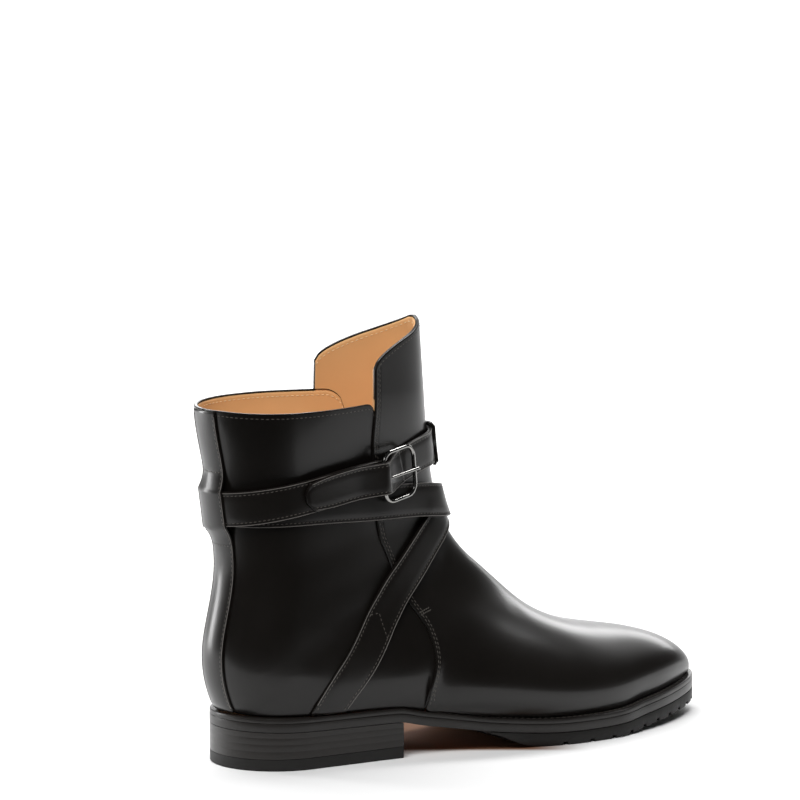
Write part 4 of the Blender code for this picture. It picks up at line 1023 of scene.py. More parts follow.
def layered_leather(name, dark, light, streak):
    """Stacked leather edge: fine streaks run along it, and add to the grain's bump."""
    made = leather(name, dark, light, (0.34, 0.46), 0.35, 900.0, 60.0, 0.25, 0.25, 0.00006)
    made_of = made.node_tree
    shade = made_of.nodes["Principled BSDF"]
    spot = made_of.nodes.new("ShaderNodeTexCoord").outputs["Object"]
    stretch = linked(made_of, "ShaderNodeMapping", (("Vector", spot),),
                     (("Scale", (0.06, 0.06, 1.0)),))
    noise = linked(made_of, "ShaderNodeTexNoise", (("Vector", stretch.outputs["Vector"]),),
                   (("Scale", 1500.0), ("Detail", 3.0)))
    relief = linked(made_of, "ShaderNodeBump", (
        ("Height", noise.outputs["Fac"]), ("Normal", shade.inputs["Normal"].links[0].from_socket)),
        (("Strength", 0.35), ("Distance", streak)))
    made_of.links.new(relief.outputs["Normal"], shade.inputs["Normal"])
    return made


def metal(name, colour, rough):
    """Dark polished plating with fine wear in its gloss."""
    made = bpy.data.materials.new(name)
    made.use_nodes = True
    made_of = made.node_tree
    shade = made_of.nodes["Principled BSDF"]
    shade.inputs["Base Color"].default_value = tone(colour)
    shade.inputs["Metallic"].default_value = 1.0
    spot = made_of.nodes.new("ShaderNodeTexCoord").outputs["Object"]
    noise = linked(made_of, "ShaderNodeTexNoise", (("Vector", spot),),
                   (("Scale", 420.0), ("Detail", 5.0)))
    gloss = linked(made_of, "ShaderNodeMapRange", (("Value", noise.outputs["Fac"]),),
                   (("To Min", rough[0]), ("To Max", rough[1])))
    made_of.links.new(gloss.outputs[0], shade.inputs["Roughness"])
    return made


CALF = leather("polished_calf", (0.0052, 0.0044, 0.0038), (0.0085, 0.0070, 0.0060),
               (0.27, 0.38), 0.10, 2300.0, 22.0, 0.22, 0.15)
STRAP = leather("strap_calf", (0.0056, 0.0048, 0.0042), (0.0095, 0.0078, 0.0066),
                (0.30, 0.42), 0.18, 1700.0, 40.0, 0.18, 0.20)
LINING = leather("tan_lining", (0.66, 0.36, 0.155), (0.76, 0.45, 0.21), (0.46, 0.60), 0.20,
                 1500.0, 30.0, 0.05, 0.4, 0.00006)
EDGE = leather("edge_dressing", (0.009, 0.0078, 0.007), (0.015, 0.013, 0.0115), (0.36, 0.48), 0.25,
               1200.0, 50.0, 0.22, 0.25)
# light grey for the straps' top edges: painted highlight where the edges catch the light
EDGE_HIGHLIGHT = leather("painted_edge_highlight", (0.130, 0.121, 0.112), (0.210, 0.196, 0.182), (0.38, 0.50), 0.25,
               1500.0, 60.0)
STACK = layered_leather("heel_layers", (0.009, 0.0078, 0.007), (0.017, 0.014, 0.012), 0.00007)
SOLE = leather("sole_leather", (0.30, 0.13, 0.055), (0.42, 0.20, 0.09), (0.45, 0.6), 0.2,
              1000.0, 40.0)
RUBBER = leather("black_rubber", (0.009, 0.0085, 0.008), (0.016, 0.015, 0.014), (0.50, 0.62), 0.3,
                 1400.0, 70.0)
THREAD = leather("black_thread", (0.055, 0.050, 0.044), (0.110, 0.100, 0.088), (0.40, 0.55), 0.2,
                 5000.0, 90.0)
TAN_THREAD = leather("tan_thread", (0.80, 0.60, 0.34), (0.88, 0.70, 0.44), (0.55, 0.7), 0.2,
                     5000.0, 90.0)
STEEL = metal("dark_nickel", (0.30, 0.295, 0.285), (0.10, 0.22))


def read_at(distance, away, *lines):
    """Vectors of each line of vectors where the distance away along it reaches a value."""
    return [[np.interp(distance, away, line[:, c]) for c in range(3)] for line in lines]


def rim_stitches(down, face, normal, distance, spacing, lift):
    """Stitch row at a distance below the top edge of a panel."""
    spots = []
    for j in range(down.shape[1]):
        keep = down[:, j] < 0.9 * FAR
        spots.append(read_at(distance, down[keep, j], face[keep, j], normal[keep, j]))
    return stitches(*zip(*spots), spacing, 1.9, 0.5, lift)


def build_front():
    """Whole front piece over the quarters, with its rounded rear and top edges, the two
    stitch rows beside the rear edge and the short rows across that edge."""
    grid, side, down, numbers = front_grid()
    half_wall = 0.5 * (OVERLAY_STEP + 0.2)
    near = np.minimum(side, down)
    k = rounded(near, half_wall)
    middle = OVERLAY_STEP - half_wall
    tight = sum(np.exp(-((side - row) / 0.45) ** 2) for row in SEAM_ROWS)
    form = worn_form(grid) * np.clip(side / 12.0, 0.0, 1.0)
    outer = middle + half_wall * k - 0.14 * tight * (down > 3.0) + form
    rim = np.where(grid[:, :, 2] > COLLAR_HEIGHT + 2.0, near, down)
    inner = middle - half_wall * k + form - rim_bead(rim)
    verts, faces, high, normal = shell(grid, outer, inner)
    add_piece("front_piece", verts, faces, CALF, "upper_leather", ("upper",), close=True)
    rows = []
    half = grid.shape[1] // 2
    for which, order in enumerate((np.arange(half), np.arange(2 * half, half, -1))):
        lines = list(zip(side[:, order], high[:, order], normal[:, order]))
        keep = (numbers <= seam_end(which) - 0.02) & (down[:, half] > 3.4)
        for row in SEAM_ROWS:
            spots = [read_at(row, *lines[i]) for i in np.nonzero(keep)[0]]
            rows.append(stitches(*zip(*spots), 2.5, 1.9, 0.55, 0.02, 0.10))
        for number in TACK_ROWS:
            line = lines[int(np.argmin(np.abs(numbers - number)))]
            spots = [read_at(at, *line) for at in np.linspace(0.7, 8.5, 8)]
            rows.append(stitches(*zip(*spots), 1.5, 1.6, 0.6, 0.08, 0.25))
    wide = side[0] >= 2.5
    rows.append(rim_stitches(down[:, wide], high[:, wide], normal[:, wide], RIM_ROW, 2.6, 0.02))
    return grid, side, down, numbers, rows


def rim_bead(down, depth=0.8):
    """Extra depth of the folded leather edge over the top of the lining."""
    return depth * rounded(down, 0.4) * (1.0 - ease((down - 0.45) / 0.5))


def build_quarters():
    """The two quarters under the front piece."""
    rows = []
    grids = []
    for side, name in enumerate(("quarter_outer_side", "quarter_inner_side")):
        grid, down = quarter_grid(side)
        k = rounded(down, 0.45)
        form = worn_form(grid)
        outer = -0.45 + 0.45 * k + form
        inner = -0.45 - 0.45 * k + form - rim_bead(down, (0.8, 1.15)[side])
        if side == 1:
            grid, outer, inner, down = [v[:, ::-1] for v in (grid, outer, inner, down)]
        verts, faces, high, normal = shell(grid, outer, inner)
        add_piece(name, verts, faces, CALF, "upper_leather", close=True)
        rows.append(rim_stitches(down, high, normal, RIM_ROW, 2.6, 0.02))
        grids.append((grid, down, high))
    return grids, rows


def build_lining(front, quarters):
    """Tan lining inside the quarters and the tongue, with its own light stitches. Below the
    collar the front one lies deeper, behind the quarters."""
    grid, down, numbers = front[0], front[2], front[3]
    deeper = 1.5 * ease((numbers[5:-3, None] - 3.0) / 3.0)
    rows = []
    for name, grid, down, edge, middle, out, deep in (
            ("lining_front", grid[:, 4:-4], down[:, 4:-4], 0.5, -0.95 - deeper, 0.65, 0.75),
            ("lining_outer_side", *quarters[0][:2], 0.4, -1.32, 0.37, 0.38),
            ("lining_inner_side", *quarters[1][:2], 0.4, -1.32, 0.37, 0.73)):
        grid, down = grid[5:-3], down[5:-3] - TOP_STEPS[5]
        k = rounded(down, edge)
        inner = middle - deep * k
        solid = shell(grid, middle + out * k, inner)
        add_piece(name, *solid[:2], LINING, "insole_leather", close=True)
        normal = solid[3]
        low = grid + normal * inner[:, :, None]
        rows.append(rim_stitches(down, low, -normal, 2.4, 2.7, 0.05))
    add_piece("lining_stitches", *joined(rows), TAN_THREAD, "insole_leather")


def layered_body(name, count, rings, material, slot_name, nodes):
    """Solid from stacked outlines: each ring is (inset, height function); both ends are
    closed straight across between points with the same x."""
    verts = []
    for inset, level in rings:
        loop = outline_loop(count, inset)
        verts.append(np.stack([loop[:, 0], loop[:, 1], level(loop[:, 0])], 1))
    pairs = [(i, (count - i) % count) for i in range(count // 2 + 1)]
    faces = bands(len(rings), count) + across_caps(pairs, (0, (len(rings) - 1) * count))
    return add_piece(name, np.concatenate(verts), faces, material, slot_name, nodes, close=True)


def even(value):
    """Constant inset."""
    return lambda s: np.full(np.shape(s), float(value))


def build_sole():
    """Leather sole with a rounded black edge, welt with its stitch groove, and sock."""
    def at(base, rise):
        return lambda x: base(x) + rise

    def half(s):
        return 0.55 * welt_out(s)

    def room(s):
        return welt_out(s) + UPPER_WALL + INSOLE_ROOM + 0.6

    layered_body("sole_edge", 360, [
        (even(inset), at(sole_under, rise)) for inset, rise in (
            (1.2, 0.0), (0.3, 0.0), (0.08, 0.08), (0.0, 0.3), (0.0, OUTSOLE - 0.25),
            (0.05, OUTSOLE - 0.08), (0.2, OUTSOLE))], EDGE, "sole_leather", ("outsole",))
    foot = at(sole_under, OUTSOLE + SEAT)
    layered_body("welt_strip", 480, [
        (even(0.6), at(foot, -0.25)), (even(0.12), at(foot, -0.22)), (even(0.04), at(foot, 0.1)),
        (even(0.08), at(foot, WELT - 0.5)), (even(0.25), at(foot, WELT - 0.14)),
        (even(0.6), at(foot, WELT)), (lambda s: half(s) - 0.4, at(foot, WELT)),
        (half, at(foot, WELT - 0.22)), (lambda s: half(s) + 0.4, at(foot, WELT)),
        (lambda s: welt_out(s) + 1.2, at(foot, WELT))],
        EDGE, "sole_leather", ("welt",))
    loop = outline_loop(900, half)
    path = np.stack([loop[:, 0], loop[:, 1], welt_top(loop[:, 0]) - 0.12], 1)
    ahead = np.nonzero(path[:, 0] > 0.36 * FOOT_LENGTH)[0]
    path = path[ahead[0]:ahead[-1]]
    up = np.repeat([[0.0, 0.0, 1.0]], len(path), 0)
    add_piece("welt_stitches", *stitches(path, up, 3.4, 2.9, 0.85, 0.16), THREAD, "sole_leather")
    top = at(welt_top, SEAT + INSOLE_RISE)
    layered_body("sock", 300, [
        (room, foot), (room, at(top, -0.5)), (lambda s: room(s) + 0.25, at(top, -0.1)),
        (lambda s: room(s) + 0.8, top)], LINING, "insole_leather", ("insole",))
    xs = np.linspace(HEEL_LENGTH + 1.0, TREAD_START * FOOT_LENGTH + 6.0, 40)
    lateral, medial = outline_sides(xs / FOOT_LENGTH)
    under = sole_under(xs)
    solid = strip_solid(xs, lateral + 2.2, medial - 2.2, under - 0.16, under + 0.2)
    sharpen(add_piece("waist_leather", *solid, SOLE, "sole_leather", close=True), 35.0)


def heel_outline(inset):
    """Points around the heel from the front's lateral corner by the back to the medial one,
    then straight across the front, lying inside the sole's edge by the inset."""
    turn = np.cos(np.linspace(0.0, math.pi, HEEL_COUNT))
    s = HEEL_LENGTH / FOOT_LENGTH * (0.5 + 0.5 * turn)
    lateral, medial = outline_sides(s)
    x = s * FOOT_LENGTH
    pts = np.concatenate([np.stack([x, lateral], 1), np.stack([x, medial], 1)[-2::-1]])
    ahead = np.gradient(pts, axis=0)
    pts = pts + unit(np.stack([ahead[:, 1], -ahead[:, 0]], 1)) * inset
    pts[:, 0] = np.minimum(pts[:, 0], HEEL_LENGTH - inset)
    cross = np.linspace(0.0, 1.0, 16)[1:-1][:, None]
    return np.concatenate([pts, pts[-1] + (pts[0] - pts[-1]) * cross])


def build_heel_looks():
    """Stacked heel with a fine joint between its layers, and the top lift."""
    first = TOP_LIFT + SEAT
    high = sole_under(np.array([0.0]))[0] - SEAT
    cuts = [first + (high - first) * f for f in (0.0, 0.28, 0.55, 0.80, 1.0)]
    rings = [(0.5, cuts[0] - 0.2), (0.06, cuts[0] - 0.12)]
    for cut in cuts[1:-1]:
        rings += [(0.03, cut - 0.15), (0.055, cut), (0.03, cut + 0.15)]
    rings += [(0.06, cuts[-1] + 0.08), (0.4, cuts[-1] + 0.18)]
    lift = [(0.9, 0.0), (0.35, 0.06), (0.05, 0.5), (0.03, TOP_LIFT - 0.1), (0.15, TOP_LIFT)]
    last = 2 * HEEL_COUNT - 2
    for name, levels, material, slot_name, node in (
            ("heel_layers", rings, STACK, "heel_leather", "heel_stack"),
            ("heel_lift", lift, RUBBER, "tread_rubber", "top_lift")):
        verts = []
        for inset, level in levels:
            loop = heel_outline(inset)
            z = np.full(len(loop), level)
            if node == "heel_stack":
                share = (level - cuts[0]) / (cuts[-1] - cuts[0])
                z = cuts[0] + (sole_under(loop[:, 0]) - SEAT - cuts[0]) * share
            verts.append(np.stack([loop[:, 0], loop[:, 1], z], 1))
        count = len(verts[0])
        starts = (0, (len(levels) - 1) * count)
        faces = bands(len(levels), count)
        faces += across_caps([(i, last - i) for i in range(HEEL_COUNT)], starts)
        for start in starts:
            faces.append((start,) + tuple(range(start + last, start + count)))
        sharpen(add_piece(name, np.concatenate(verts), faces, material, slot_name, (node,),
                          close=True), 40.0)


def build_tread_looks():
    """Rubber forefoot tread: rows straight across, each with rounded side edges."""
    start = TREAD_START * FOOT_LENGTH
    full = TREAD_FULL * FOOT_LENGTH
    xs = list(np.linspace(start, full, 16)) + list(spaced(full, FOOT_LENGTH, 130)[1:])
    half = 1.7
    keep = [(x, 0.0) for x in xs if min(abs(x - g * FOOT_LENGTH) for g in GROOVES) > half + 0.5]
    for g in GROOVES:
        for away, deep in ((half, 0.0), (half - 0.15, 0.12), (half - 0.45, 1.0)):
            keep += [(g * FOOT_LENGTH - away, deep), (g * FOOT_LENGTH + away, deep)]
    x, deep = np.array(sorted(keep)).T
    lateral, medial = outline_sides(x / FOOT_LENGTH)
    high = sole_under(x) - SEAT
    ramp = 1.0 - ease((x - start) / (full - start))
    low = high - TREAD + ramp * (TREAD - 1.2) + deep * TREAD_GROOVE
    room = np.minimum(0.5 * (medial - lateral), 0.6)
    profile = ((1.0, low, 0.0), (0.3, low, 0.08), (0.0, low, 0.5), (0.0, high, -0.3),
               (0.3, high, 0.0))
    verts = [(x, lateral + inset * room, level + drop) for inset, level, drop in profile]
    verts += [(x, medial - inset * room, level + drop) for inset, level, drop in profile[::-1]]
    grid = np.array(verts).transpose(2, 0, 1)
    rows, count = grid.shape[:2]
    faces = bands(rows, count)
    faces.append(tuple(range(count)))
    faces.append(tuple((rows - 1) * count + k for k in range(count))[::-1])
    sharpen(add_piece("forefoot_rubber", grid.reshape(-1, 3), faces, RUBBER, "tread_rubber",
                      ("forefoot_tread",), close=True), 32.0)


def taut(need, turns=320):
    """Lift of a strap pulled tight over what is under it: again and again each point becomes
    the average of its neighbours, but never less than it needs."""
    lift = need.copy()
    for turn in range(turns):
        lift = averaged(lift)
        if turn % 2 == 0:
            lift = averaged(lift, 1)
        lift = np.maximum(lift, need)
    return lift


def height_over(bodies, spot, out, room):
    """Greatest height of the bodies above a spot, seen from PROBE out; 0 without a hit."""
    start = Vector(spot + out * PROBE)
    hits = [body.ray_cast(start, Vector(-out), room) for body in bodies]
    return max([PROBE - hit[3] for hit in hits if hit[0] is not None] + [0.0])


def clear_of(foot, out, bodies):
    """Least lift at which a strap clears the bodies under it at each of its points."""
    need = [[height_over(bodies, spot, way, PROBE) for spot, way in zip(spots, ways)]
            for spots, ways in zip(foot, out)]
    return spread(np.array(need), 1)


# thin light tubes along the straps' top edges: painted highlight
EDGE_LINES = []
STRAP_PROFILE = (
    # share of half width from the middle, height as share of the strap's thickness
    (-1.000, 0.12), (-1.000, 0.72), (-0.985, 0.90), (-0.955, 1.00), (-0.90, 1.02),
    (-0.80, 0.93), (-0.72, 1.02), (-0.40, 1.07), (0.0, 1.09), (0.40, 1.07), (0.72, 1.02),
    (0.80, 0.93), (0.90, 1.02), (0.955, 1.00), (0.985, 0.90), (1.000, 0.72), (1.000, 0.12),
)


def strap_piece(name, foot, out, lift, thick, material, slot_name, nodes, margin=0.8, tip=False,
                sewn=0.0):
    """Strap with rounded edges and a stitch groove along each, and its stitches.

    Across, the foot points are read at the profile's shares; each is moved outward by the
    lift, the seat and the profile's share of the thickness. The inner face closes it. Up to
    the length sewn it is thinner and lies closer.
    """
    count, across = foot.shape[:2]
    shares, heights = column(STRAP_PROFILE, 0), column(STRAP_PROFILE, 1)

    def read(values, share):
        f = (share + 1.0) * 0.5 * (across - 1)
        i = np.clip(np.floor(f).astype(int), 0, across - 2)
        g = f - i
        if values.ndim == 3:
            g = g[None, :, None]
        return values[:, i] * (1.0 - g) + values[:, i + 1] * g

    full = np.ones(count)
    if sewn > 0.0:
        full = ease((run_of(foot[:, across // 2]) - sewn) / 14.0)
    thick = (thick * (0.55 + 0.45 * full))[:, None]
    seat = (SEAT * (0.3 + 0.7 * full))[:, None]
    rise = read(lift, shares) + seat + thick * heights[None]
    top = read(foot, shares) + unit(read(out, shares)) * rise[:, :, None]
    flat = np.linspace(1.0, -1.0, 7)
    under = read(foot, flat) + unit(read(out, flat)) * (read(lift, flat) + seat)[:, :, None]
    loop = np.concatenate([top, under], 1)
    m = loop.shape[1]
    faces = bands(count, m)
    faces.append(tuple(range(m)))
    faces.append(tuple((count - 1) * m + k for k in range(m))[::-1])
    add_piece(name, loop.reshape(-1, 3), faces, material, slot_name, nodes, close=True)
    rows = []
    stop = count - 2 if tip else count - 1
    for share in (-margin, margin):
        s = np.array([share])
        line = read(foot, s) + read(out, s) * (read(lift, s) + seat + thick * 0.94)[:, :, None]
        rows.append(stitches(line[1:stop, 0], read(out, s)[1:stop, 0], 2.35, 1.75, 0.5, 0.03, 0.08))
    # thin light tubes along both top edges: painted highlight where the edges catch the light
    for number in (3, len(heights) - 4):
        EDGE_LINES.append(tube(top[2:count - 2, number], 0.17, 6, False))
    return top, rows


def across_row(top, at, shares, away, spacing, length):
    """Stitch row across a strap's face from one station and share to another."""
    middle = column(STRAP_PROFILE, 0)[1:-1]
    path = []
    for f in np.linspace(0.0, 1.0, 12):
        i = at[0] + (at[1] - at[0]) * f
        s = shares[0] + (shares[1] - shares[0]) * f
        low = int(np.clip(math.floor(i), 0, len(top) - 2))
        a, b = read_at(s, middle, top[low, 1:-1], top[low + 1, 1:-1])
        path.append(np.array(a) + (np.array(b) - np.array(a)) * (i - low))
    return stitches(path, [away] * len(path), spacing, length, 0.5, 0.05)


BUCKLE_AHEAD = 2.2
# length over which a strap's foot is thinned
SEWN_LENGTH = 54.0


def drawn(foot, out):
    """Strap's foot points and directions drawn even along its run, its first stations kept."""
    for grid in (foot, out):
        for turn in range(24):
            mean = 0.5 * (grid[2:-4] + grid[4:-2])
            grid[3:-3] += 0.5 * (mean - grid[3:-3])
    return foot, unit(out)


def build_straps_looks(skin):
    """Straps, back strip, tab and buckle, laid in the order in which they cross."""
    foot_1, out_1, rows_1 = band_frame(skin, BUCKLE_STRAP, STRAP_WIDTH, 190, 9, level_foot=True)
    foot_2, out_2, rows_2 = band_frame(
        skin, FREE_STRAP, STRAP_WIDTH, 340, 9, 9.0, FREE_STRAP_CLOSE, level_foot=True)
    foot_1, out_1 = drawn(foot_1, out_1)
    foot_2, out_2 = drawn(foot_2, out_2)
    first = rows_1 <= BUCKLE_STRAP_SPLIT + 1.0
    second = rows_1 > BUCKLE_STRAP_SPLIT
    early = rows_2 <= FREE_STRAP_SPLIT
    late = rows_2 > FREE_STRAP_SPLIT
    need_1 = clear_of(foot_1, out_1, [skin])
    low = part_tree(foot_1, out_1, taut(need_1), STRAP_THICK, first)
    need_2 = clear_of(foot_2, out_2, [skin])
    need_2[early] = np.maximum(need_2[early], clear_of(foot_2[early], out_2[early], [low]))
    lift_2 = taut(need_2)
    middle = part_tree(foot_2, out_2, lift_2, STRAP_THICK, early)
    need_1[second] = np.maximum(need_1[second], clear_of(foot_1[second], out_1[second], [middle]))
    lift_1 = taut(need_1)
    outer_1 = tree(*band_mesh(foot_1, out_1, lift_1, STRAP_THICK))
    top_1, threads = strap_piece("strap_with_buckle", foot_1, out_1, lift_1, STRAP_THICK, STRAP,
                                 "strap_leather", ("buckle_strap",), sewn=SEWN_LENGTH)
    threads += foot_rows(top_1, out_1)
    centre, one, two, out = buckle_place(skin)
    centre = centre + one * BUCKLE_AHEAD
    spot = (centre, one, two, out)
    half = 0.5 * (BUCKLE_LENGTH - BUCKLE_WIRE)
    heights = []
    for sign, bodies in ((-1.0, (outer_1, middle)), (1.0, (middle,))):
        bar = centre + one * sign * half
        best = max(height_over(bodies, bar + two * step * STRAP_WIDTH, out, 24.0)
                   for step in np.linspace(-0.5, 0.5, 7))
        heights.append(best + SEAT + 0.5 * BUCKLE_WIRE + 0.15)
    verts, faces = buckle_frame(spot, heights[0], heights[1], 16, 14)
    add_piece("buckle", verts, faces, STEEL, "buckle_metal", ("buckle_frame",), close=True)
    behind = (verts - centre) @ one < -1.0
    rear = tree(verts, [face for face in faces if all(behind[k] for k in face)])
    need_2[late] = np.maximum(need_2[late], clear_of(foot_2[late], out_2[late], [outer_1, rear]))
    lift_2 = np.where(late[:, None], taut(need_2), lift_2)
    outer_2 = tree(*band_mesh(foot_2, out_2, lift_2, STRAP_THICK))
    top_2, rows = strap_piece("strap_free_end", foot_2, out_2, lift_2, STRAP_THICK, STRAP,
                              "strap_leather", ("free_strap",), tip=True, sewn=SEWN_LENGTH)
    threads += rows + foot_rows(top_2, out_2)
    build_prong_looks(spot, half, heights)
    path = [(180.0, level) for level in np.linspace(STRIP_TOP, STRIP_FOOT, 12)]
    foot, out = band_frame(skin, path, STRIP_WIDTH, 120, 11)[:2]
    lift = taut(clear_of(foot, out, [skin, outer_1, outer_2]), 30)
    top_3, rows = strap_piece("back_strip_looks", foot, out, lift, STRIP_THICK, CALF,
                              "upper_leather", ("back_strip",), 0.86)
    threads += rows + loop_rows(top_3, out, lift)
    path = [(0.0, level) for level in np.linspace(TAB_TOP, TAB_FOOT, 5)]
    foot, out = band_frame(skin, path, TAB_WIDTH, 36, 9)[:2]
    lift = taut(clear_of(foot, out, [skin, outer_2]), 20)
    return threads + strap_piece("front_tab_looks", foot, out, lift, TAB_THICK, CALF,
                                 "upper_leather", ("front_tab",), 0.78)[1]


def foot_rows(top, out):
    """Pointed stitch line across a strap a little above its sewn foot."""
    run = run_of(top[:, 8])
    rows = []
    for shares, far in (((0.86, 0.35), (56.0, 60.0)), ((0.35, -0.86), (60.0, 50.0))):
        at = np.interp(far, run, np.arange(len(run)))
        rows.append(across_row(top, at, shares, out[int(at[0]), 4], 2.2, 1.7))
    return rows


def loop_rows(top, out, lift):
    """Stitch rows across the back strip above and below the loop over the straps."""
    inside = np.nonzero(lift.mean(axis=1) > 0.9)[0]
    ends = (inside[0] - 3.0, inside[-1] + 3.0) if len(inside) else ()
    return [across_row(top, (at, at), (-0.80, 0.80), out[int(at), 5], 2.0, 1.6) for at in ends]


def build_prong_looks(spot, half, heights):
    """Prong from the rear bar to the front bar, with a ring around the rear bar."""
    centre, one, out = spot[0], spot[1], spot[3]
    radius = 0.5 * PRONG_WIRE
    top = heights[1] + 0.5 * BUCKLE_WIRE + radius + 0.1
    t = np.linspace(0.0, 1.0, 30)[:, None]
    x = (2.0 * half + 1.7) * t - half
    h = heights[0] + 0.9 + (top - heights[0] - 0.9) * ease(t * 1.15)
    shaft = tube(centre + one * x + out * h, radius, 12, False)
    loop = []
    for a in np.linspace(0.0, 2.0 * math.pi, 24, endpoint=False):
        spin = one * math.cos(a) + out * math.sin(a)
        loop.append(centre - one * half + out * heights[0] + spin * (0.5 * BUCKLE_WIRE + 0.75))
    verts, faces = joined([shaft, tube(loop, 0.8, 12, True)])
    add_piece("prong", verts, faces, STEEL, "buckle_metal", ("buckle_prong",), close=True)


def paint_shadow_under_waist(made_of, shade):
    """Painted shadow on the floor under the waist: a dark brown box with soft edges in metres of
    the floor's own frame; the product of four smooth steps mixes pale with the dark painted shadow."""
    where = made_of.nodes.new("ShaderNodeTexCoord").outputs["Object"]
    split = linked(made_of, "ShaderNodeSeparateXYZ", ((0, where),))
    share = None
    for axis, start, end in (("X", -0.075, -0.050), ("X", 0.070, 0.035),
                             ("Y", -0.0405, -0.0325), ("Y", 0.050, 0.036)):
        step = linked(made_of, "ShaderNodeMapRange", (("Value", split.outputs[axis]),),
                      (("From Min", start), ("From Max", end)))
        step.interpolation_type = "SMOOTHSTEP"
        if share is not None:
            both = linked(made_of, "ShaderNodeMath", ((0, share), (1, step.outputs["Result"])))
            both.operation = "MULTIPLY"
        share = step.outputs["Result"] if share is None else both.outputs[0]
    mix = made_of.nodes.new("ShaderNodeMix")
    mix.data_type = "RGBA"
    mix.inputs["A"].default_value = (0.90, 0.90, 0.90, 1.0)
    # B is the dark brown of the painted shadow under the waist
    mix.inputs["B"].default_value = (0.21, 0.10, 0.055, 1.0)
    made_of.links.new(share, mix.inputs["Factor"])
    made_of.links.new(mix.outputs["Result"], shade.inputs["Base Color"])


def build_room():
    """Pale floor with a soft rise behind, a painted dark brown shadow under the boot's waist, and a
    faint even sky.
    """
    x = np.linspace(-3.0, 3.0, 24)
    y = np.concatenate([np.linspace(-0.22, 0.4, 12), np.linspace(0.4, 5.0, 49)[1:]])
    rise = np.where(y > 2.4, (y - 2.4) ** 2 * 0.5, 0.0)
    gx, gy = np.meshgrid(x, y, indexing="ij")
    verts = np.stack([gx, gy, np.broadcast_to(rise, gx.shape)], 2).reshape(-1, 3)
    mesh = bpy.data.meshes.new("floor")
    faces = [tuple(int(k) for k in face[::-1]) for face in grid_faces(len(x), len(y))]
    mesh.from_pydata(verts.tolist(), [], faces)
    mesh.polygons.foreach_set("use_smooth", [True] * len(mesh.polygons))
    paint = bpy.data.materials.new("pale_floor_with_painted_shadow")
    paint.use_nodes = True
    shade = paint.node_tree.nodes["Principled BSDF"]
    # painted shadow under the waist, mixed into the floor's colour
    paint_shadow_under_waist(paint.node_tree, shade)
    shade.inputs["Roughness"].default_value = 0.85
    shade.inputs["Specular IOR Level"].default_value = 0.2
    mesh.materials.append(paint)
    floor = bpy.data.objects.new("floor", mesh)
    bpy.context.scene.collection.objects.link(floor)
    floor.rotation_euler = (0.0, 0.0, VIEW_TURN)
    world = bpy.data.worlds.new("studio")
    world.use_nodes = True
    sky = world.node_tree.nodes["Background"]
    sky.inputs["Color"].default_value = (0.95, 0.97, 1.0, 1.0)
    sky.inputs["Strength"].default_value = 0.03
    bpy.context.scene.world = world


def add_light(name, place_m, target, size, watts, colour=(1.0, 1.0, 1.0), gleam=True):
    """Soft rectangular light that faces a target."""
    lamp = bpy.data.lights.new(name, "AREA")
    lamp.shape = "RECTANGLE"
    lamp.size = size[0]
    lamp.size_y = size[1]
    lamp.energy = watts
    lamp.color = colour
    body = bpy.data.objects.new(name, lamp)
    body.location = place_m
    body.visible_glossy = gleam
    away = Vector(place_m) - Vector(target)
    body.rotation_euler = away.to_track_quat("Z", "Y").to_euler()
    bpy.context.scene.collection.objects.link(body)


def seen_at(across, beyond, height):
    """Point in metres: across the picture, beyond the boot along the view, and up."""
    return (across * math.cos(VIEW_TURN) - beyond * math.sin(VIEW_TURN),
            across * math.sin(VIEW_TURN) + beyond * math.cos(VIEW_TURN), height)


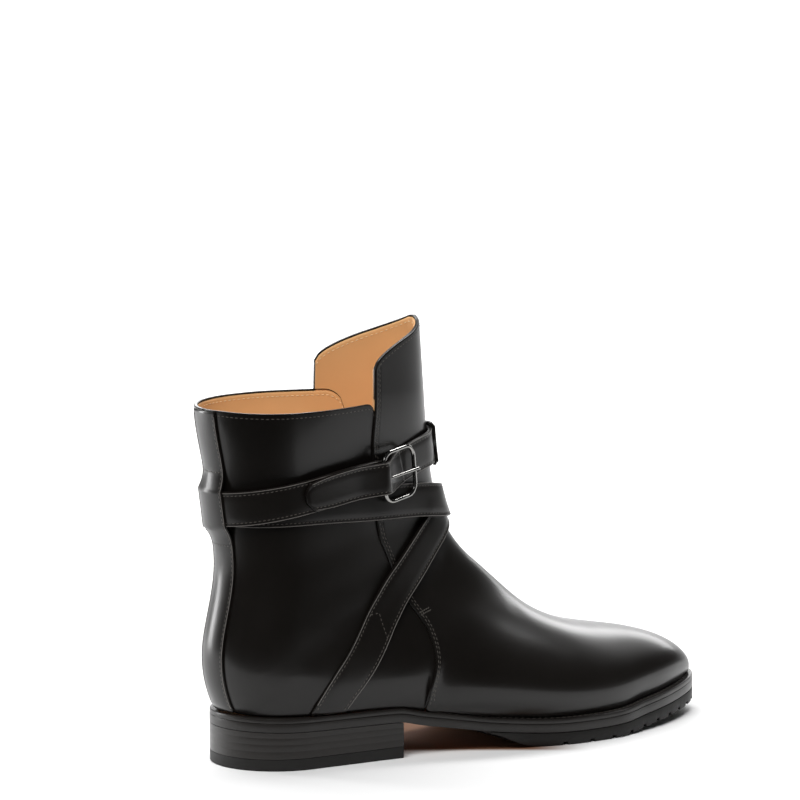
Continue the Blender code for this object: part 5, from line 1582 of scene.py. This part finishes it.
def set_camera():
    """Camera at the photo's angle: behind the boot and to its outer side, a little above."""
    right = Vector((math.cos(VIEW_TURN), math.sin(VIEW_TURN), 0.0))
    level = math.cos(VIEW_TILT)
    back = Vector((math.sin(VIEW_TURN) * level, -math.cos(VIEW_TURN) * level, math.sin(VIEW_TILT)))
    up = back.cross(right)
    aim = np.array([VIEW_ACROSS * math.cos(VIEW_TURN), VIEW_ACROSS * math.sin(VIEW_TURN),
                    VIEW_HEIGHT])
    lens = bpy.data.cameras.new("camera")
    lens.sensor_width = 36.0
    lens.lens = 36.0 * VIEW_FOCUS
    lens.clip_start = 0.1
    lens.clip_end = 60.0
    body = bpy.data.objects.new("camera", lens)
    pose = Matrix((right, up, back)).transposed().to_4x4()
    pose.translation = Vector(((aim + np.array(back) * VIEW_DISTANCE + ORIGIN) * MM).tolist())
    body.matrix_world = pose
    bpy.context.scene.collection.objects.link(body)
    bpy.context.scene.camera = body


def skin_tree(front, quarters):
    """Search tree of the outside of the panels, in millimetres, the quarters joined behind."""
    grid = front[0]
    backs = [quarters[0][2], quarters[1][2]]
    same = 0.5 * (backs[0][:, 0] + backs[1][:, -1])
    backs[0][:, 0] = same
    backs[1][:, -1] = same
    outside = grid + normals_of(grid) * (OVERLAY_STEP + worn_form(grid))[:, :, None]
    return tree(*joined([(high.reshape(-1, 3), grid_faces(*high.shape[:2]))
                         for high in [outside] + backs]))


set_camera()
build_room()
bpy.context.scene.view_settings.view_transform = "Standard"
add_light("fill_box", seen_at(-0.25, -1.0, 1.5), (0.0, 0.0, 0.12), (1.2, 0.9), 26.0, gleam=False)
add_light("left_box", seen_at(-1.15, 0.42, 0.34), (-0.1, 0.0, 0.10), (0.26, 0.8), 8.0)
add_light("soft_box", seen_at(-0.35, -1.1, 1.0), (0.0, 0.0, 0.08), (0.8, 0.3), 1.6)
add_light("high_box", seen_at(0.35, 1.8, 0.70), (0.05, 0.0, 0.05), (1.5, 0.40), 8.0)
add_light("back_box", seen_at(0.0, 1.2, 2.3), tuple(seen_at(0.0, 2.2, 0.3)), (3.2, 0.8), 110.0)
*front, front_rows = build_front()
quarters, quarter_rows = build_quarters()
build_lining(front, quarters)
skin = skin_tree(front, quarters)
build_sole()
build_heel_looks()
build_tread_looks()
strap_rows = build_straps_looks(skin)
add_piece("panel_stitches", *joined(front_rows + quarter_rows), THREAD, "upper_leather")
add_piece("strap_stitches", *joined(strap_rows), THREAD, "strap_leather")
# painted highlight tubes along the straps' top edges
add_piece("strap_edge_highlights", *joined(EDGE_LINES), EDGE_HIGHLIGHT, "strap_leather")
